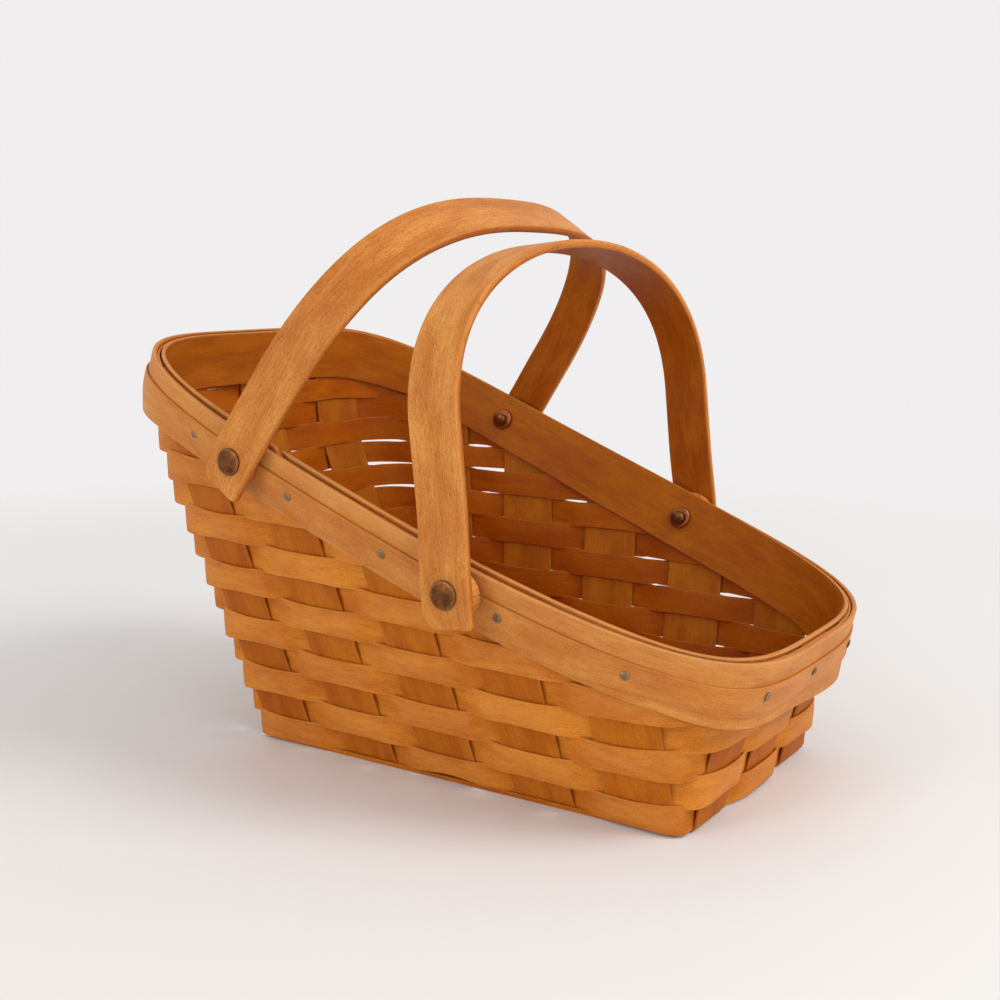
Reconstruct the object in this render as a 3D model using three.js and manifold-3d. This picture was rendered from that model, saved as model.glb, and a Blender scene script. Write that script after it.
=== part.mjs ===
// A produce basket with one low end: splint weavers on flat stakes, a banded rim and two swing handles.
// Millimetres, +Z up. The low end faces +X and the origin is the middle of the underside.
import * as THREE from 'three';
import { mergeVertices } from 'three/addons/utils/BufferGeometryUtils.js';
import Module from 'manifold-3d';

// Play left between pieces that touch
const CLEARANCE = 0.3;

// Base, from bend to bend
const BASE_LENGTH = 178.5;
const BASE_WIDTH = 107;

// Outward travel of each wall for a millimetre of height
const SIDE_FLARE = 0.337;
const SIDE_TAPER = 0.0014;
const TALL_END_FLARE = 0.325;
const TALL_END_FLARE_GAIN = 0.00097;
const TALL_END_EASE_HEIGHT = 94.5;
const TALL_END_EASE = 0.0079;
const LOW_END_FLARE = 0.163;
const LOW_END_FLARE_GAIN = 0.0031;

// Corner softness is 1/n of a superellipse slice: near 0 is a square corner, 0.5 is an ellipse
const BASE_SOFTNESS = 0.03;
const TALL_SOFTNESS_GAIN = 0.00103;
const LOW_SOFTNESS_GAIN = 0.0043;
const LEAST_SOFTNESS = 0.02;
const MOST_SOFTNESS = 0.5;

// Rim line, falling from the tall end to the low end
const RIM_HEIGHT = 96.5;
const RIM_SLOPE = 0.371;
const RIM_SAG = 0.000247;

// Stakes: flat strips woven across the base and bent up the walls
const CROSS_STAKES = 5;
const LENGTH_STAKES = 3;
const STAKE_WIDTH = 24.4;
const STAKE_THICK = 1.0;
const STAKE_END_INSET = 3.2;
const STAKE_SIDE_INSET = 4.5;
const STAKE_TOP_DROP = 1.5;
const CROSS_LEAN = -0.1385;
const CROSS_LEAN_GAIN = 0.00105;
const TALL_END_FAN = 0.0025;
const LOW_END_FAN = 0;
const BEND_HEIGHT = 3;

// Weavers: one strip a row, level all round
const ROW_START = 1;
const ROW_GAP = 0.8;
const FULL_ROWS = 5;
const FULL_ROW_DROP = 9;
const WEAVER_THICK = 0.8;
const ROW_END_DROP = 12.5;

// Rim bands and the nailed strip
const INNER_BAND_DROP = 24.5;
const OUTER_BAND_DROP = 22.5;
const INNER_BAND_THICK = 2.0;
const OUTER_BAND_THICK = 1.8;
const TRIM_TOP_DROP = 7.3;
const TRIM_HEIGHT = 9.3;
const TRIM_THICK = 1.4;
const LOW_END_STAND = 2.6;
const LOW_END_STAND_FROM = 0.6;

// Swing handles: bent strips on rivets through the rim
const HANDLE_WIDTH = 18;
const HANDLE_THICK = 3;
const HANDLE_TAB = 11;
const HANDLE_TAB_CHAMFER = 4;
const HANDLE_RIM_GAP = 1.6;
const PIVOT_DROP = 10;
const BACK_PIVOT_STAKE = 2;
const BACK_PIVOT_SHIFT = -10.3;
const BACK_HANDLE_HEIGHT = 104;
const BACK_HANDLE_LEG = 15;
const BACK_HANDLE_SQUARENESS = 2.75;
const BACK_HANDLE_LEAN = 33.5;
const FRONT_PIVOT_STAKE = 4;
const FRONT_PIVOT_SHIFT = -7.1;
const FRONT_HANDLE_HEIGHT = 111;
const FRONT_HANDLE_LEG = 53;
const FRONT_HANDLE_SQUARENESS = 2.15;
const FRONT_HANDLE_LEAN = -6.7;

// Rivets, burrs and spacers at the pivots
const RIVET_SHANK_RADIUS = 1.8;
const RIVET_HEAD_RADIUS = 4.8;
const RIVET_HEAD_THICK = 1.5;
const PEEN_RADIUS = 2.9;
const PEEN_THICK = 1.0;
const BURR_RADIUS = 4.9;
const BURR_THICK = 1.1;
const BACK_SPACER_RADIUS = 7.6;
const FRONT_SPACER_RADIUS = 9.8;
const SPACER_EDGE = 0.8;
// Shares of a dome's radius and thickness at its turned-over edge
const DOME_EDGE_RADIUS = 0.7;
const DOME_EDGE_RISE = 0.85;
const HEAD_RIM = 0.4;

// Tacks through the trim, those of the long sides set off from the middles of the cross stakes
const TACK_HEAD_RADIUS = 1.35;
const TACK_HEAD_THICK = 0.5;
const TACK_SHANK_RADIUS = 0.6;
const TACK_FACE = 0.8;
const SIDE_TACK_SHIFTS = [9.2, 7.9, 3.9, 5, 4.5];
const END_TACK_Y = [-38, 0, 38];

// Facets
const CORNER_STEPS = 4;
const BEND_STEPS = 3;
const ARCH_STEPS = 26;
const ROUND_STEPS = 16;
const TACK_STEPS = 6;
const SETTLE_STEPS = 40;
const PROBE = 0.1;
const BORE_OVERRUN = 5;

const NEAR = -1;
const FAR = 1;
const TALL = -1;
const LOW = 1;

// Values that follow from the sizes above
const MAT_OFFSET = (STAKE_THICK + CLEARANCE) / 2;
const MAT_MIDDLE = STAKE_THICK + CLEARANCE / 2;
const MAT_TOP = 2 * STAKE_THICK + CLEARANCE;
const WEAVE_OFFSET = (STAKE_THICK + WEAVER_THICK) / 2 + CLEARANCE;
const WEAVE_REACH = WEAVE_OFFSET + WEAVER_THICK / 2;
const BAND_FACE = WEAVE_REACH + CLEARANCE;
const OUTER_BAND_FACE = BAND_FACE + OUTER_BAND_THICK;
const TRIM_FACE = OUTER_BAND_FACE + CLEARANCE;
const TRIM_OUTSIDE = TRIM_FACE + TRIM_THICK;
const LOW_RIM = heightUnderRim((z) => endPoint(z, 0, LOW), 0);
const ROW_PITCH = (LOW_RIM - FULL_ROW_DROP + ROW_GAP - ROW_START) / FULL_ROWS;

const wasm = await Module();
wasm.setup();

// Wall surface: the middle of the stakes, cut level at height z
function softness(z, end) {
  const gain = end === LOW ? LOW_SOFTNESS_GAIN : TALL_SOFTNESS_GAIN;
  return Math.min(MOST_SOFTNESS, Math.max(LEAST_SOFTNESS, BASE_SOFTNESS + gain * z));
}

function sliceSize(z) {
  const eased = Math.max(0, z - TALL_END_EASE_HEIGHT);
  const tallOut = TALL_END_FLARE * z + TALL_END_FLARE_GAIN * z * z - TALL_END_EASE * eased * eased;
  const lowOut = LOW_END_FLARE * z + LOW_END_FLARE_GAIN * z * z;
  return {
    middle: (lowOut - tallOut) / 2,
    halfLength: (BASE_LENGTH + lowOut + tallOut) / 2,
    halfWidth: BASE_WIDTH / 2 + SIDE_FLARE * z,
  };
}

function signedPower(value, power) {
  return Math.sign(value) * Math.abs(value) ** power;
}

// Shares of the slice's half length and half width at a point, and the slice's exponent there
function sliceShares(x, y, z) {
  const size = sliceSize(z);
  const along = (x - size.middle) / size.halfLength;
  const across = y / (size.halfWidth * (1 + SIDE_TAPER * z * along));
  return { along, across, power: 1 / softness(z, along > 0 ? LOW : TALL) };
}

function slicePoint(z, along, across) {
  const size = sliceSize(z);
  const y = size.halfWidth * (1 + SIDE_TAPER * z * along) * across;
  return new THREE.Vector3(size.middle + size.halfLength * along, y, z);
}

// Share that is left for one direction of the slice when the other is given
function otherShare(share, power) {
  return Math.max(0, 1 - Math.abs(share) ** power) ** (1 / power);
}

// Point of a long side at x
function sidePoint(z, x, side) {
  const { along, power } = sliceShares(x, 0, z);
  return slicePoint(z, along, side * otherShare(along, power));
}

// Point of an end wall at y
function endPoint(z, y, end) {
  let along = end;
  for (let i = 0; i < SETTLE_STEPS; i += 1) {
    const { across, power } = sliceShares(slicePoint(z, along, 0).x, y, z);
    along = end * otherShare(across, power);
  }
  const { across } = sliceShares(slicePoint(z, along, 0).x, y, z);
  return slicePoint(z, along, across);
}

// Point round a corner, a share of the way from one point of the slice to the next
function cornerPoint(from, to, share) {
  const turnOf = (p) => {
    const { along, across, power } = sliceShares(p.x, p.y, p.z);
    return Math.atan2(signedPower(across, power / 2), signedPower(along, power / 2));
  };
  const start = turnOf(from);
  const full = 2 * Math.PI;
  const turn = start + share * ((turnOf(to) - start + full) % full);
  const power = 2 * softness(from.z, Math.cos(turn) > 0 ? LOW : TALL);
  return slicePoint(from.z, signedPower(Math.cos(turn), power), signedPower(Math.sin(turn), power));
}

// Outward direction of the wall at a point of it
function wallNormal(point) {
  const field = (dx, dy, dz) => {
    const { along, across, power } = sliceShares(point.x + dx, point.y + dy, point.z + dz);
    return Math.abs(along) ** power + Math.abs(across) ** power;
  };
  return new THREE.Vector3(
    field(PROBE, 0, 0) - field(-PROBE, 0, 0),
    field(0, PROBE, 0) - field(0, -PROBE, 0),
    field(0, 0, PROBE) - field(0, 0, -PROBE),
  ).normalize();
}

function rimHeight(x) {
  return RIM_HEIGHT - RIM_SLOPE * x + RIM_SAG * x * x;
}

function rimX(height) {
  const root = Math.sqrt(RIM_SLOPE * RIM_SLOPE - 4 * RIM_SAG * (RIM_HEIGHT - height));
  return (RIM_SLOPE - root) / (2 * RIM_SAG);
}

// Posts: the sixteen places where a stake stands in the wall, in order round the basket
function spread(count, reach) {
  return Array.from({ length: count }, (_, i) => reach * ((2 * i) / (count - 1) - 1));
}

const crossX = spread(CROSS_STAKES, BASE_LENGTH / 2 - STAKE_END_INSET - STAKE_WIDTH / 2);
const lengthY = spread(LENGTH_STAKES, BASE_WIDTH / 2 - STAKE_SIDE_INSET - STAKE_WIDTH / 2);

// Line up a long side, set off from the middle of a leaning cross stake
function crossLine(stakeNumber, shift, side) {
  const x = crossX[stakeNumber - 1];
  return (z) => sidePoint(z, x + (CROSS_LEAN + CROSS_LEAN_GAIN * x) * z + shift, side);
}

function sidePost(stakeNumber, side) {
  const line = crossLine(stakeNumber, 0, side);
  const edge = (z, way) => {
    const middle = line(z);
    const normal = wallNormal(middle);
    const reach = (STAKE_WIDTH * Math.abs(normal.y)) / 2 / Math.hypot(normal.x, normal.y);
    return sidePoint(z, middle.x + way * reach, side);
  };
  return { first: (z) => edge(z, side), second: (z) => edge(z, -side) };
}

function endPost(y, end) {
  const fan = end === LOW ? LOW_END_FAN : TALL_END_FAN;
  const edge = (z, way) => {
    const middle = endPoint(z, y * (1 + fan * z), end);
    const normal = wallNormal(middle);
    const reach = (STAKE_WIDTH * Math.abs(normal.x)) / 2 / Math.hypot(normal.x, normal.y);
    return endPoint(z, middle.y + way * reach, end);
  };
  return { first: (z) => edge(z, -end), second: (z) => edge(z, end) };
}

const walls = {
  near: crossX.map((_, i) => sidePost(i + 1, NEAR)),
  low: lengthY.map((y) => endPost(y, LOW)),
  far: crossX.map((_, i) => sidePost(CROSS_STAKES - i, FAR)),
  tall: [...lengthY].reverse().map((y) => endPost(y, TALL)),
};

// Ring: the lines that every level strip turns at, two at each post and a few round each corner
function makeRing() {
  const ring = [];
  const order = Object.keys(walls);
  let number = 0;
  order.forEach((wall, w) => {
    walls[wall].forEach((post, i) => {
      const over = number % 2 === 0 ? 1 : -1;
      ring.push({ at: post.first, over, wall }, { at: post.second, over, wall });
      number += 1;
      if (i < walls[wall].length - 1) return;
      const next = walls[order[(w + 1) % order.length]][0];
      for (let step = 1; step < CORNER_STEPS; step += 1) {
        const share = step / CORNER_STEPS;
        const at = (z) => cornerPoint(post.second(z), next.first(z), share);
        ring.push({ at, over: over * (1 - 2 * share), wall });
      }
    });
  });
  return ring;
}

const ring = makeRing();

function wallPoint(vertex, z, offset) {
  const point = vertex.at(z);
  return point.clone().addScaledVector(wallNormal(point), offset);
}

// Solids from a run of sections with the same number of corners, closed into a loop or capped at both ends
function ribbon(sections, closed) {
  const corners = sections[0].length;
  const points = sections.flat();
  const position = points.flatMap((p) => p.toArray());
  const index = [];
  const runs = closed ? sections.length : sections.length - 1;
  for (let s = 0; s < runs; s += 1) {
    const here = corners * s;
    const next = corners * ((s + 1) % sections.length);
    for (let k = 0; k < corners; k += 1) {
      const [a, b] = [here + k, here + ((k + 1) % corners)];
      const [c, d] = [next + k, next + ((k + 1) % corners)];
      const straight = points[a].distanceTo(points[d]) < points[b].distanceTo(points[c]);
      index.push(...(straight ? [a, c, d, a, d, b] : [a, c, b, b, c, d]));
    }
  }
  if (!closed) {
    const last = corners * (sections.length - 1);
    for (let k = 2; k < corners; k += 1) {
      index.push(0, k - 1, k, last, last + k, last + k - 1);
    }
  }
  const geometry = new THREE.BufferGeometry();
  geometry.setAttribute('position', new THREE.Float32BufferAttribute(position, 3));
  geometry.setIndex(volumeOf(position, index) < 0 ? [...index].reverse() : index);
  return geometry;
}

function volumeOf(position, index) {
  const corner = (i) => new THREE.Vector3().fromArray(position, 3 * index[i]);
  let volume = 0;
  for (let i = 0; i < index.length; i += 3) {
    volume += corner(i).dot(corner(i + 1).cross(corner(i + 2))) / 6;
  }
  return volume;
}

// Boolean cuts
function toManifold(geometry) {
  const bare = geometry.clone();
  bare.deleteAttribute('normal');
  bare.deleteAttribute('uv');
  const merged = mergeVertices(bare, 1e-4);
  const vertProperties = new Float32Array(merged.attributes.position.array);
  const triVerts = new Uint32Array(merged.index.array);
  return new wasm.Manifold(new wasm.Mesh({ numProp: 3, vertProperties, triVerts }));
}

function cut(geometry, tools) {
  let solid = toManifold(geometry);
  tools.forEach((tool) => {
    solid = solid.subtract(toManifold(tool));
  });
  const mesh = solid.getMesh();
  const result = new THREE.BufferGeometry();
  result.setAttribute('position', new THREE.Float32BufferAttribute(mesh.vertProperties, 3));
  result.setIndex([...mesh.triVerts]);
  return result;
}

// Weavers
function rowSpan(row) {
  const bottom = ROW_START + (row - 1) * ROW_PITCH;
  return { bottom, top: bottom + ROW_PITCH - ROW_GAP };
}

// The first row is lifted over the woven base where it passes inside the stakes
function weaverSection(vertex, row) {
  const span = rowSpan(row);
  const out = vertex.over * (row % 2 === 1 ? 1 : -1);
  const lift = Math.max(0, MAT_TOP + 2 * CLEARANCE - span.bottom) * (1 - out) / 2;
  const bottom = span.bottom + lift;
  const top = span.top;
  const offset = WEAVE_OFFSET * out;
  const inside = offset - WEAVER_THICK / 2;
  const outside = offset + WEAVER_THICK / 2;
  return [
    wallPoint(vertex, bottom, inside),
    wallPoint(vertex, bottom, outside),
    wallPoint(vertex, top, outside),
    wallPoint(vertex, top, inside),
  ];
}

function sectionX(section) {
  return (section[0].x + section[2].x) / 2;
}

function blendSections(a, b, share) {
  return a.map((p, i) => p.clone().lerp(b[i], share));
}

function weaver(row) {
  const sections = ring.map((vertex) => weaverSection(vertex, row));
  if (row <= FULL_ROWS) return ribbon(sections, true);
  // A row that meets the falling rim runs round the tall end and stops under the bands
  const endX = rimX(rowSpan(row).top + ROW_END_DROP);
  const firstFar = ring.findIndex((vertex) => vertex.wall === 'far');
  const kept = [];
  for (let i = 0; i < ring.length; i += 1) {
    const here = sections[(firstFar + i) % ring.length];
    const next = sections[(firstFar + i + 1) % ring.length];
    const wall = ring[(firstFar + i) % ring.length].wall;
    if (wall === 'low') continue;
    const run = sectionX(next) - sectionX(here);
    const share = (endX - sectionX(here)) / run;
    if (sectionX(here) <= endX) kept.push(here);
    if (share > 0 && share < 1) kept.push(blendSections(here, next, share));
  }
  return ribbon(kept, false);
}

function rowCount() {
  const tallRim = rimHeight(sliceSize(RIM_HEIGHT).middle - sliceSize(RIM_HEIGHT).halfLength);
  return Math.floor((tallRim - ROW_END_DROP + ROW_GAP - ROW_START) / ROW_PITCH);
}

// Stakes
function ridge(point, along, across, normalOffset) {
  const normal = new THREE.Vector3().crossVectors(along, across).normalize();
  return point.clone().addScaledVector(normal, normalOffset);
}

function stakeSections(leftLine, rightLine) {
  return leftLine.map((left, i) => {
    const right = rightLine[i];
    const before = Math.max(0, i - 1);
    const after = Math.min(leftLine.length - 1, i + 1);
    const leftRun = leftLine[after].clone().sub(leftLine[before]);
    const along = rightLine[after].clone().sub(rightLine[before]).add(leftRun);
    const across = right.clone().sub(left);
    const half = STAKE_THICK / 2;
    return [
      ridge(left, along, across, -half),
      ridge(right, along, across, -half),
      ridge(right, along, across, half),
      ridge(left, along, across, half),
    ];
  });
}

// Height at which a line up the wall comes to a drop below the rim
function heightUnderRim(at, drop) {
  let z = RIM_HEIGHT;
  for (let i = 0; i < SETTLE_STEPS; i += 1) {
    z = (z + rimHeight(at(z).x) - drop) / 2;
  }
  return z;
}

// The two edges of a stake up a wall, level with the rows and cut off along the rim
function edgesUp(edges) {
  const tops = edges.map((at) => heightUnderRim(at, STAKE_TOP_DROP));
  const levels = [BEND_HEIGHT];
  for (let row = 2; rowSpan(row).top < Math.min(...tops); row += 1) {
    levels.push(rowSpan(row).bottom);
  }
  return edges.map((at, k) => [...levels, tops[k]].map((z) => at(z)));
}

// One edge of a stake round the bend between the flat of the base and the foot of the wall
function edgeBend(from, to, corner) {
  const curve = new THREE.QuadraticBezierCurve3(from, corner, to);
  return curve.getPoints(BEND_STEPS).slice(1, -1);
}

// Places along the base where a stake lies over or under the stakes that it crosses
function matRun(crossings, startsOver) {
  const run = [];
  crossings.forEach((middle, i) => {
    const over = (i % 2 === 0) === startsOver;
    const level = MAT_MIDDLE + (over ? MAT_OFFSET : -MAT_OFFSET);
    const reach = STAKE_WIDTH / 2 + CLEARANCE;
    run.push({ at: middle - reach, level }, { at: middle + reach, level });
  });
  return run;
}

function stake(run, place, firstEdges, lastEdges, bends) {
  const starts = edgesUp(firstEdges);
  const ends = edgesUp(lastEdges);
  const line = (k) => {
    const start = starts[k];
    const end = ends[k];
    const flat = run.map((stop) => place(stop.at, stop.level, k));
    const startCorner = place(bends[0], run[0].level, k);
    const endCorner = place(bends[1], run[run.length - 1].level, k);
    return [
      ...start.slice().reverse(),
      ...edgeBend(start[0], flat[0], startCorner),
      ...flat,
      ...edgeBend(flat[flat.length - 1], end[0], endCorner),
      ...end,
    ];
  };
  return ribbon(stakeSections(line(0), line(1)), false);
}

function crossStake(i) {
  const run = matRun(lengthY, i % 2 === 0);
  const place = (y, z, k) => new THREE.Vector3(crossX[i] + (k - 0.5) * STAKE_WIDTH, y, z);
  const near = walls.near[i];
  const far = walls.far[CROSS_STAKES - 1 - i];
  const half = BASE_WIDTH / 2;
  return stake(run, place, [near.first, near.second], [far.second, far.first], [-half, half]);
}

function lengthStake(j) {
  const run = matRun(crossX, j % 2 === 1);
  const place = (x, z, k) => new THREE.Vector3(x, lengthY[j] + (k - 0.5) * STAKE_WIDTH, z);
  const low = walls.low[j];
  const tall = walls.tall[LENGTH_STAKES - 1 - j];
  const half = BASE_LENGTH / 2;
  return stake(run, place, [tall.second, tall.first], [low.first, low.second], [-half, half]);
}

// Bands follow the rim and the curve of the wall, through a list of drops below the rim
function band(drops, inside, outside, stand) {
  const sections = ring.map((vertex) => {
    const rim = heightUnderRim(vertex.at, 0);
    const face = (offset) => drops.map((drop) => {
      const away = stand * standOff(vertex.at(rim - drop), drop);
      return wallPoint(vertex, rim - drop, offset + away);
    });
    return [...face(outside), ...face(inside).reverse()];
  });
  return ribbon(sections, true);
}

// How far the stiff outer band stands off the flaring wall round the low end, most at its lower edge
function standOff(point, drop) {
  const { along } = sliceShares(point.x, point.y, point.z);
  const share = Math.max(0, (along - LOW_END_STAND_FROM) / (1 - LOW_END_STAND_FROM));
  return (LOW_END_STAND * share * drop) / OUTER_BAND_DROP;
}

// Pivots and what turns on them
function wallHalfWidth(x, z) {
  return sidePoint(z, x, FAR).y;
}

function pivotAt(stakeNumber, shift) {
  const line = crossLine(stakeNumber, shift, FAR);
  const z = heightUnderRim(line, PIVOT_DROP);
  const { x } = line(z);
  const slope = (wallHalfWidth(x, z + PROBE) - wallHalfWidth(x, z - PROBE)) / (2 * PROBE);
  const splay = (wallHalfWidth(x + PROBE, z) - wallHalfWidth(x - PROBE, z)) / (2 * PROBE);
  const stretch = Math.hypot(1, slope, splay);
  return {
    x,
    z,
    slope,
    splay,
    trimY: wallHalfWidth(x, z) + TRIM_OUTSIDE * stretch,
    innerY: wallHalfWidth(x, z) - (BAND_FACE + INNER_BAND_THICK) * stretch,
  };
}

function rimReach() {
  const reach = ring.map((vertex) => {
    const top = heightUnderRim(vertex.at, 0);
    const band = Math.abs(wallPoint(vertex, top, OUTER_BAND_FACE).y);
    const trim = Math.abs(wallPoint(vertex, top - TRIM_TOP_DROP, TRIM_OUTSIDE).y);
    return Math.max(band, trim);
  });
  return Math.max(...reach);
}

const pivots = {
  back: pivotAt(BACK_PIVOT_STAKE, BACK_PIVOT_SHIFT),
  front: pivotAt(FRONT_PIVOT_STAKE, FRONT_PIVOT_SHIFT),
};
const HANDLE_INSIDE = rimReach() + HANDLE_RIM_GAP;
const HANDLE_OUTSIDE = HANDLE_INSIDE + HANDLE_THICK;
const BORE_RADIUS = RIVET_SHANK_RADIUS + CLEARANCE;

// A straight rod along Y between two depths, for cutting bores
function bore(x, z, radius, from, to) {
  const rod = new THREE.CylinderGeometry(radius, radius, to - from, ROUND_STEPS);
  return rod.translate(x, (from + to) / 2, z);
}

const PIVOT_BORES = Object.values(pivots).flatMap((pivot) =>
  [NEAR, FAR].map((side) => {
    const outer = side * (HANDLE_OUTSIDE + BORE_OVERRUN);
    const inner = side * (pivot.innerY - BORE_OVERRUN);
    return bore(pivot.x, pivot.z, BORE_RADIUS, Math.min(outer, inner), Math.max(outer, inner));
  }),
);

// Straight legs stand up from the pivots at the local origin, in the plane of Y and Z, and carry an arch
function handle(rise, leg, squareness) {
  const half = HANDLE_WIDTH / 2;
  const section = (inner, outer, width) => [
    new THREE.Vector3(-width, inner[0], inner[1]),
    new THREE.Vector3(-width, outer[0], outer[1]),
    new THREE.Vector3(width, outer[0], outer[1]),
    new THREE.Vector3(width, inner[0], inner[1]),
  ];
  const tab = (side, drop, width) => {
    const inner = [side * HANDLE_INSIDE, -drop];
    const outer = [side * HANDLE_OUTSIDE, -drop];
    return section(inner, outer, width);
  };
  const power = 2 / squareness;
  const arch = (span, height, t) => [
    -span * signedPower(Math.cos(t), power),
    leg + (height - leg) * signedPower(Math.sin(t), power),
  ];
  const sections = [
    tab(NEAR, HANDLE_TAB, half - HANDLE_TAB_CHAMFER),
    tab(NEAR, HANDLE_TAB - HANDLE_TAB_CHAMFER, half),
  ];
  for (let i = 0; i <= ARCH_STEPS; i += 1) {
    const t = (Math.PI * i) / ARCH_STEPS;
    const inner = arch(HANDLE_INSIDE, rise - HANDLE_THICK, t);
    const outer = arch(HANDLE_OUTSIDE, rise, t);
    sections.push(section(inner, outer, half));
  }
  sections.push(tab(FAR, HANDLE_TAB - HANDLE_TAB_CHAMFER, half));
  sections.push(tab(FAR, HANDLE_TAB, half - HANDLE_TAB_CHAMFER));
  const reach = HANDLE_OUTSIDE + BORE_OVERRUN;
  return cut(ribbon(sections, false), [bore(0, 0, BORE_RADIUS, -reach, reach)]);
}

// A ring round a pivot between two faces, each a depth from the middle plane that may follow the wall
function pivotRing(pivot, side, innerRadius, outerRadius, insideY, outsideY) {
  const sections = [];
  for (let i = 0; i < ROUND_STEPS; i += 1) {
    const turn = (2 * Math.PI * i) / ROUND_STEPS;
    const point = (radius, depth) => {
      const run = radius * Math.cos(turn);
      const rise = radius * Math.sin(turn);
      return new THREE.Vector3(pivot.x + run, side * depth(run, rise), pivot.z + rise);
    };
    sections.push([
      point(innerRadius, insideY),
      point(outerRadius, insideY),
      point(outerRadius, outsideY),
      point(innerRadius, outsideY),
    ]);
  }
  return ribbon(sections, true);
}

// A washer cut to a wedge: flat against the handle, following the trim inside down to its thin edge
function spacer(pivot, side, radius) {
  const outside = () => HANDLE_INSIDE - CLEARANCE;
  const inside = (run, rise) => {
    const seat = pivot.trimY + CLEARANCE + pivot.splay * run + pivot.slope * rise;
    return Math.min(seat, outside() - SPACER_EDGE);
  };
  return pivotRing(pivot, side, BORE_RADIUS, radius, inside, outside);
}

function burr(pivot, side) {
  const outside = (run, rise) => pivot.innerY - CLEARANCE + pivot.splay * run + pivot.slope * rise;
  const inside = (run, rise) => outside(run, rise) - BURR_THICK;
  return pivotRing(pivot, side, BORE_RADIUS, BURR_RADIUS, inside, outside);
}

function turned(profile, steps) {
  return new THREE.LatheGeometry(profile.map(([radius, along]) => new THREE.Vector2(radius, along)), steps);
}

// Shank along Y with a domed head outside the handle and a peened end inside the burr
function rivet(pivot) {
  const headFace = HANDLE_OUTSIDE + CLEARANCE;
  const tilt = Math.hypot(pivot.slope, pivot.splay) * PEEN_RADIUS;
  const peenFace = pivot.innerY - 2 * CLEARANCE - BURR_THICK - tilt;
  return turned([
    [0, peenFace - PEEN_THICK],
    [PEEN_RADIUS * DOME_EDGE_RADIUS, peenFace - PEEN_THICK * DOME_EDGE_RISE],
    [PEEN_RADIUS, peenFace],
    [RIVET_SHANK_RADIUS, peenFace],
    [RIVET_SHANK_RADIUS, headFace],
    [RIVET_HEAD_RADIUS, headFace],
    [RIVET_HEAD_RADIUS, headFace + RIVET_HEAD_THICK * HEAD_RIM],
    [RIVET_HEAD_RADIUS * DOME_EDGE_RADIUS, headFace + RIVET_HEAD_THICK * DOME_EDGE_RISE],
    [0, headFace + RIVET_HEAD_THICK],
  ], ROUND_STEPS);
}

// Tacks: the shank ends inside the outer band, the head lies on the trim
function tackShape() {
  const tip = BAND_FACE - TRIM_OUTSIDE;
  return turned([
    [0, tip],
    [TACK_SHANK_RADIUS, tip],
    [TACK_SHANK_RADIUS, CLEARANCE],
    [TACK_HEAD_RADIUS, CLEARANCE],
    [TACK_HEAD_RADIUS * TACK_FACE, CLEARANCE + TACK_HEAD_THICK],
    [0, CLEARANCE + TACK_HEAD_THICK],
  ], TACK_STEPS);
}

function tackPlace(at) {
  const drop = TRIM_TOP_DROP + TRIM_HEIGHT / 2;
  const seat = at(heightUnderRim(at, drop));
  const normal = wallNormal(seat);
  const point = seat.clone().addScaledVector(normal, TRIM_OUTSIDE + standOff(seat, drop));
  const turn = new THREE.Quaternion().setFromUnitVectors(new THREE.Vector3(0, 1, 0), normal);
  return new THREE.Matrix4().compose(point, turn, new THREE.Vector3(1, 1, 1));
}

const TACK_PLACES = {
  near: SIDE_TACK_SHIFTS.map((shift, i) => tackPlace(crossLine(i + 1, shift, NEAR))),
  far: SIDE_TACK_SHIFTS.map((shift, i) => tackPlace(crossLine(i + 1, shift, FAR))),
  low: END_TACK_Y.map((y) => tackPlace((z) => endPoint(z, y, LOW))),
  tall: END_TACK_Y.map((y) => tackPlace((z) => endPoint(z, y, TALL))),
};

function tackBores() {
  const hole = TACK_SHANK_RADIUS + CLEARANCE;
  const depth = 2 * (TRIM_OUTSIDE - BAND_FACE + BORE_OVERRUN);
  return Object.values(TACK_PLACES).flat().map((place) =>
    new THREE.CylinderGeometry(hole, hole, depth, TACK_STEPS).applyMatrix4(place));
}

// Materials
function wood(colour, roughness) {
  return () => new THREE.MeshStandardMaterial({ color: colour, roughness, metalness: 0 });
}

function metal(colour, roughness) {
  return () => new THREE.MeshStandardMaterial({ color: colour, roughness, metalness: 1 });
}

const finishes = {
  weaver: wood(0xb9722f, 0.5),
  stake: wood(0xa9642a, 0.55),
  band: wood(0xbd7a3a, 0.45),
  handle: wood(0xc0803f, 0.42),
  rivet: metal(0x6f5236, 0.45),
  burr: metal(0x7a4526, 0.5),
  tack: metal(0x7d7a72, 0.5),
};

const basket = new THREE.Group();

function add(name, geometry, finish, parent = basket) {
  const mesh = new THREE.Mesh(geometry, finishes[finish]());
  mesh.name = name;
  parent.add(mesh);
}

const twoDigits = (number) => String(number).padStart(2, '0');

for (let i = 0; i < CROSS_STAKES; i += 1) {
  add(`cross_stake_${i + 1}`, cut(crossStake(i), PIVOT_BORES), 'stake');
}
for (let j = 0; j < LENGTH_STAKES; j += 1) {
  add(`length_stake_${j + 1}`, lengthStake(j), 'stake');
}
for (let row = 1; row <= rowCount(); row += 1) {
  add(`weaver_${twoDigits(row)}`, weaver(row), 'weaver');
}

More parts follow.
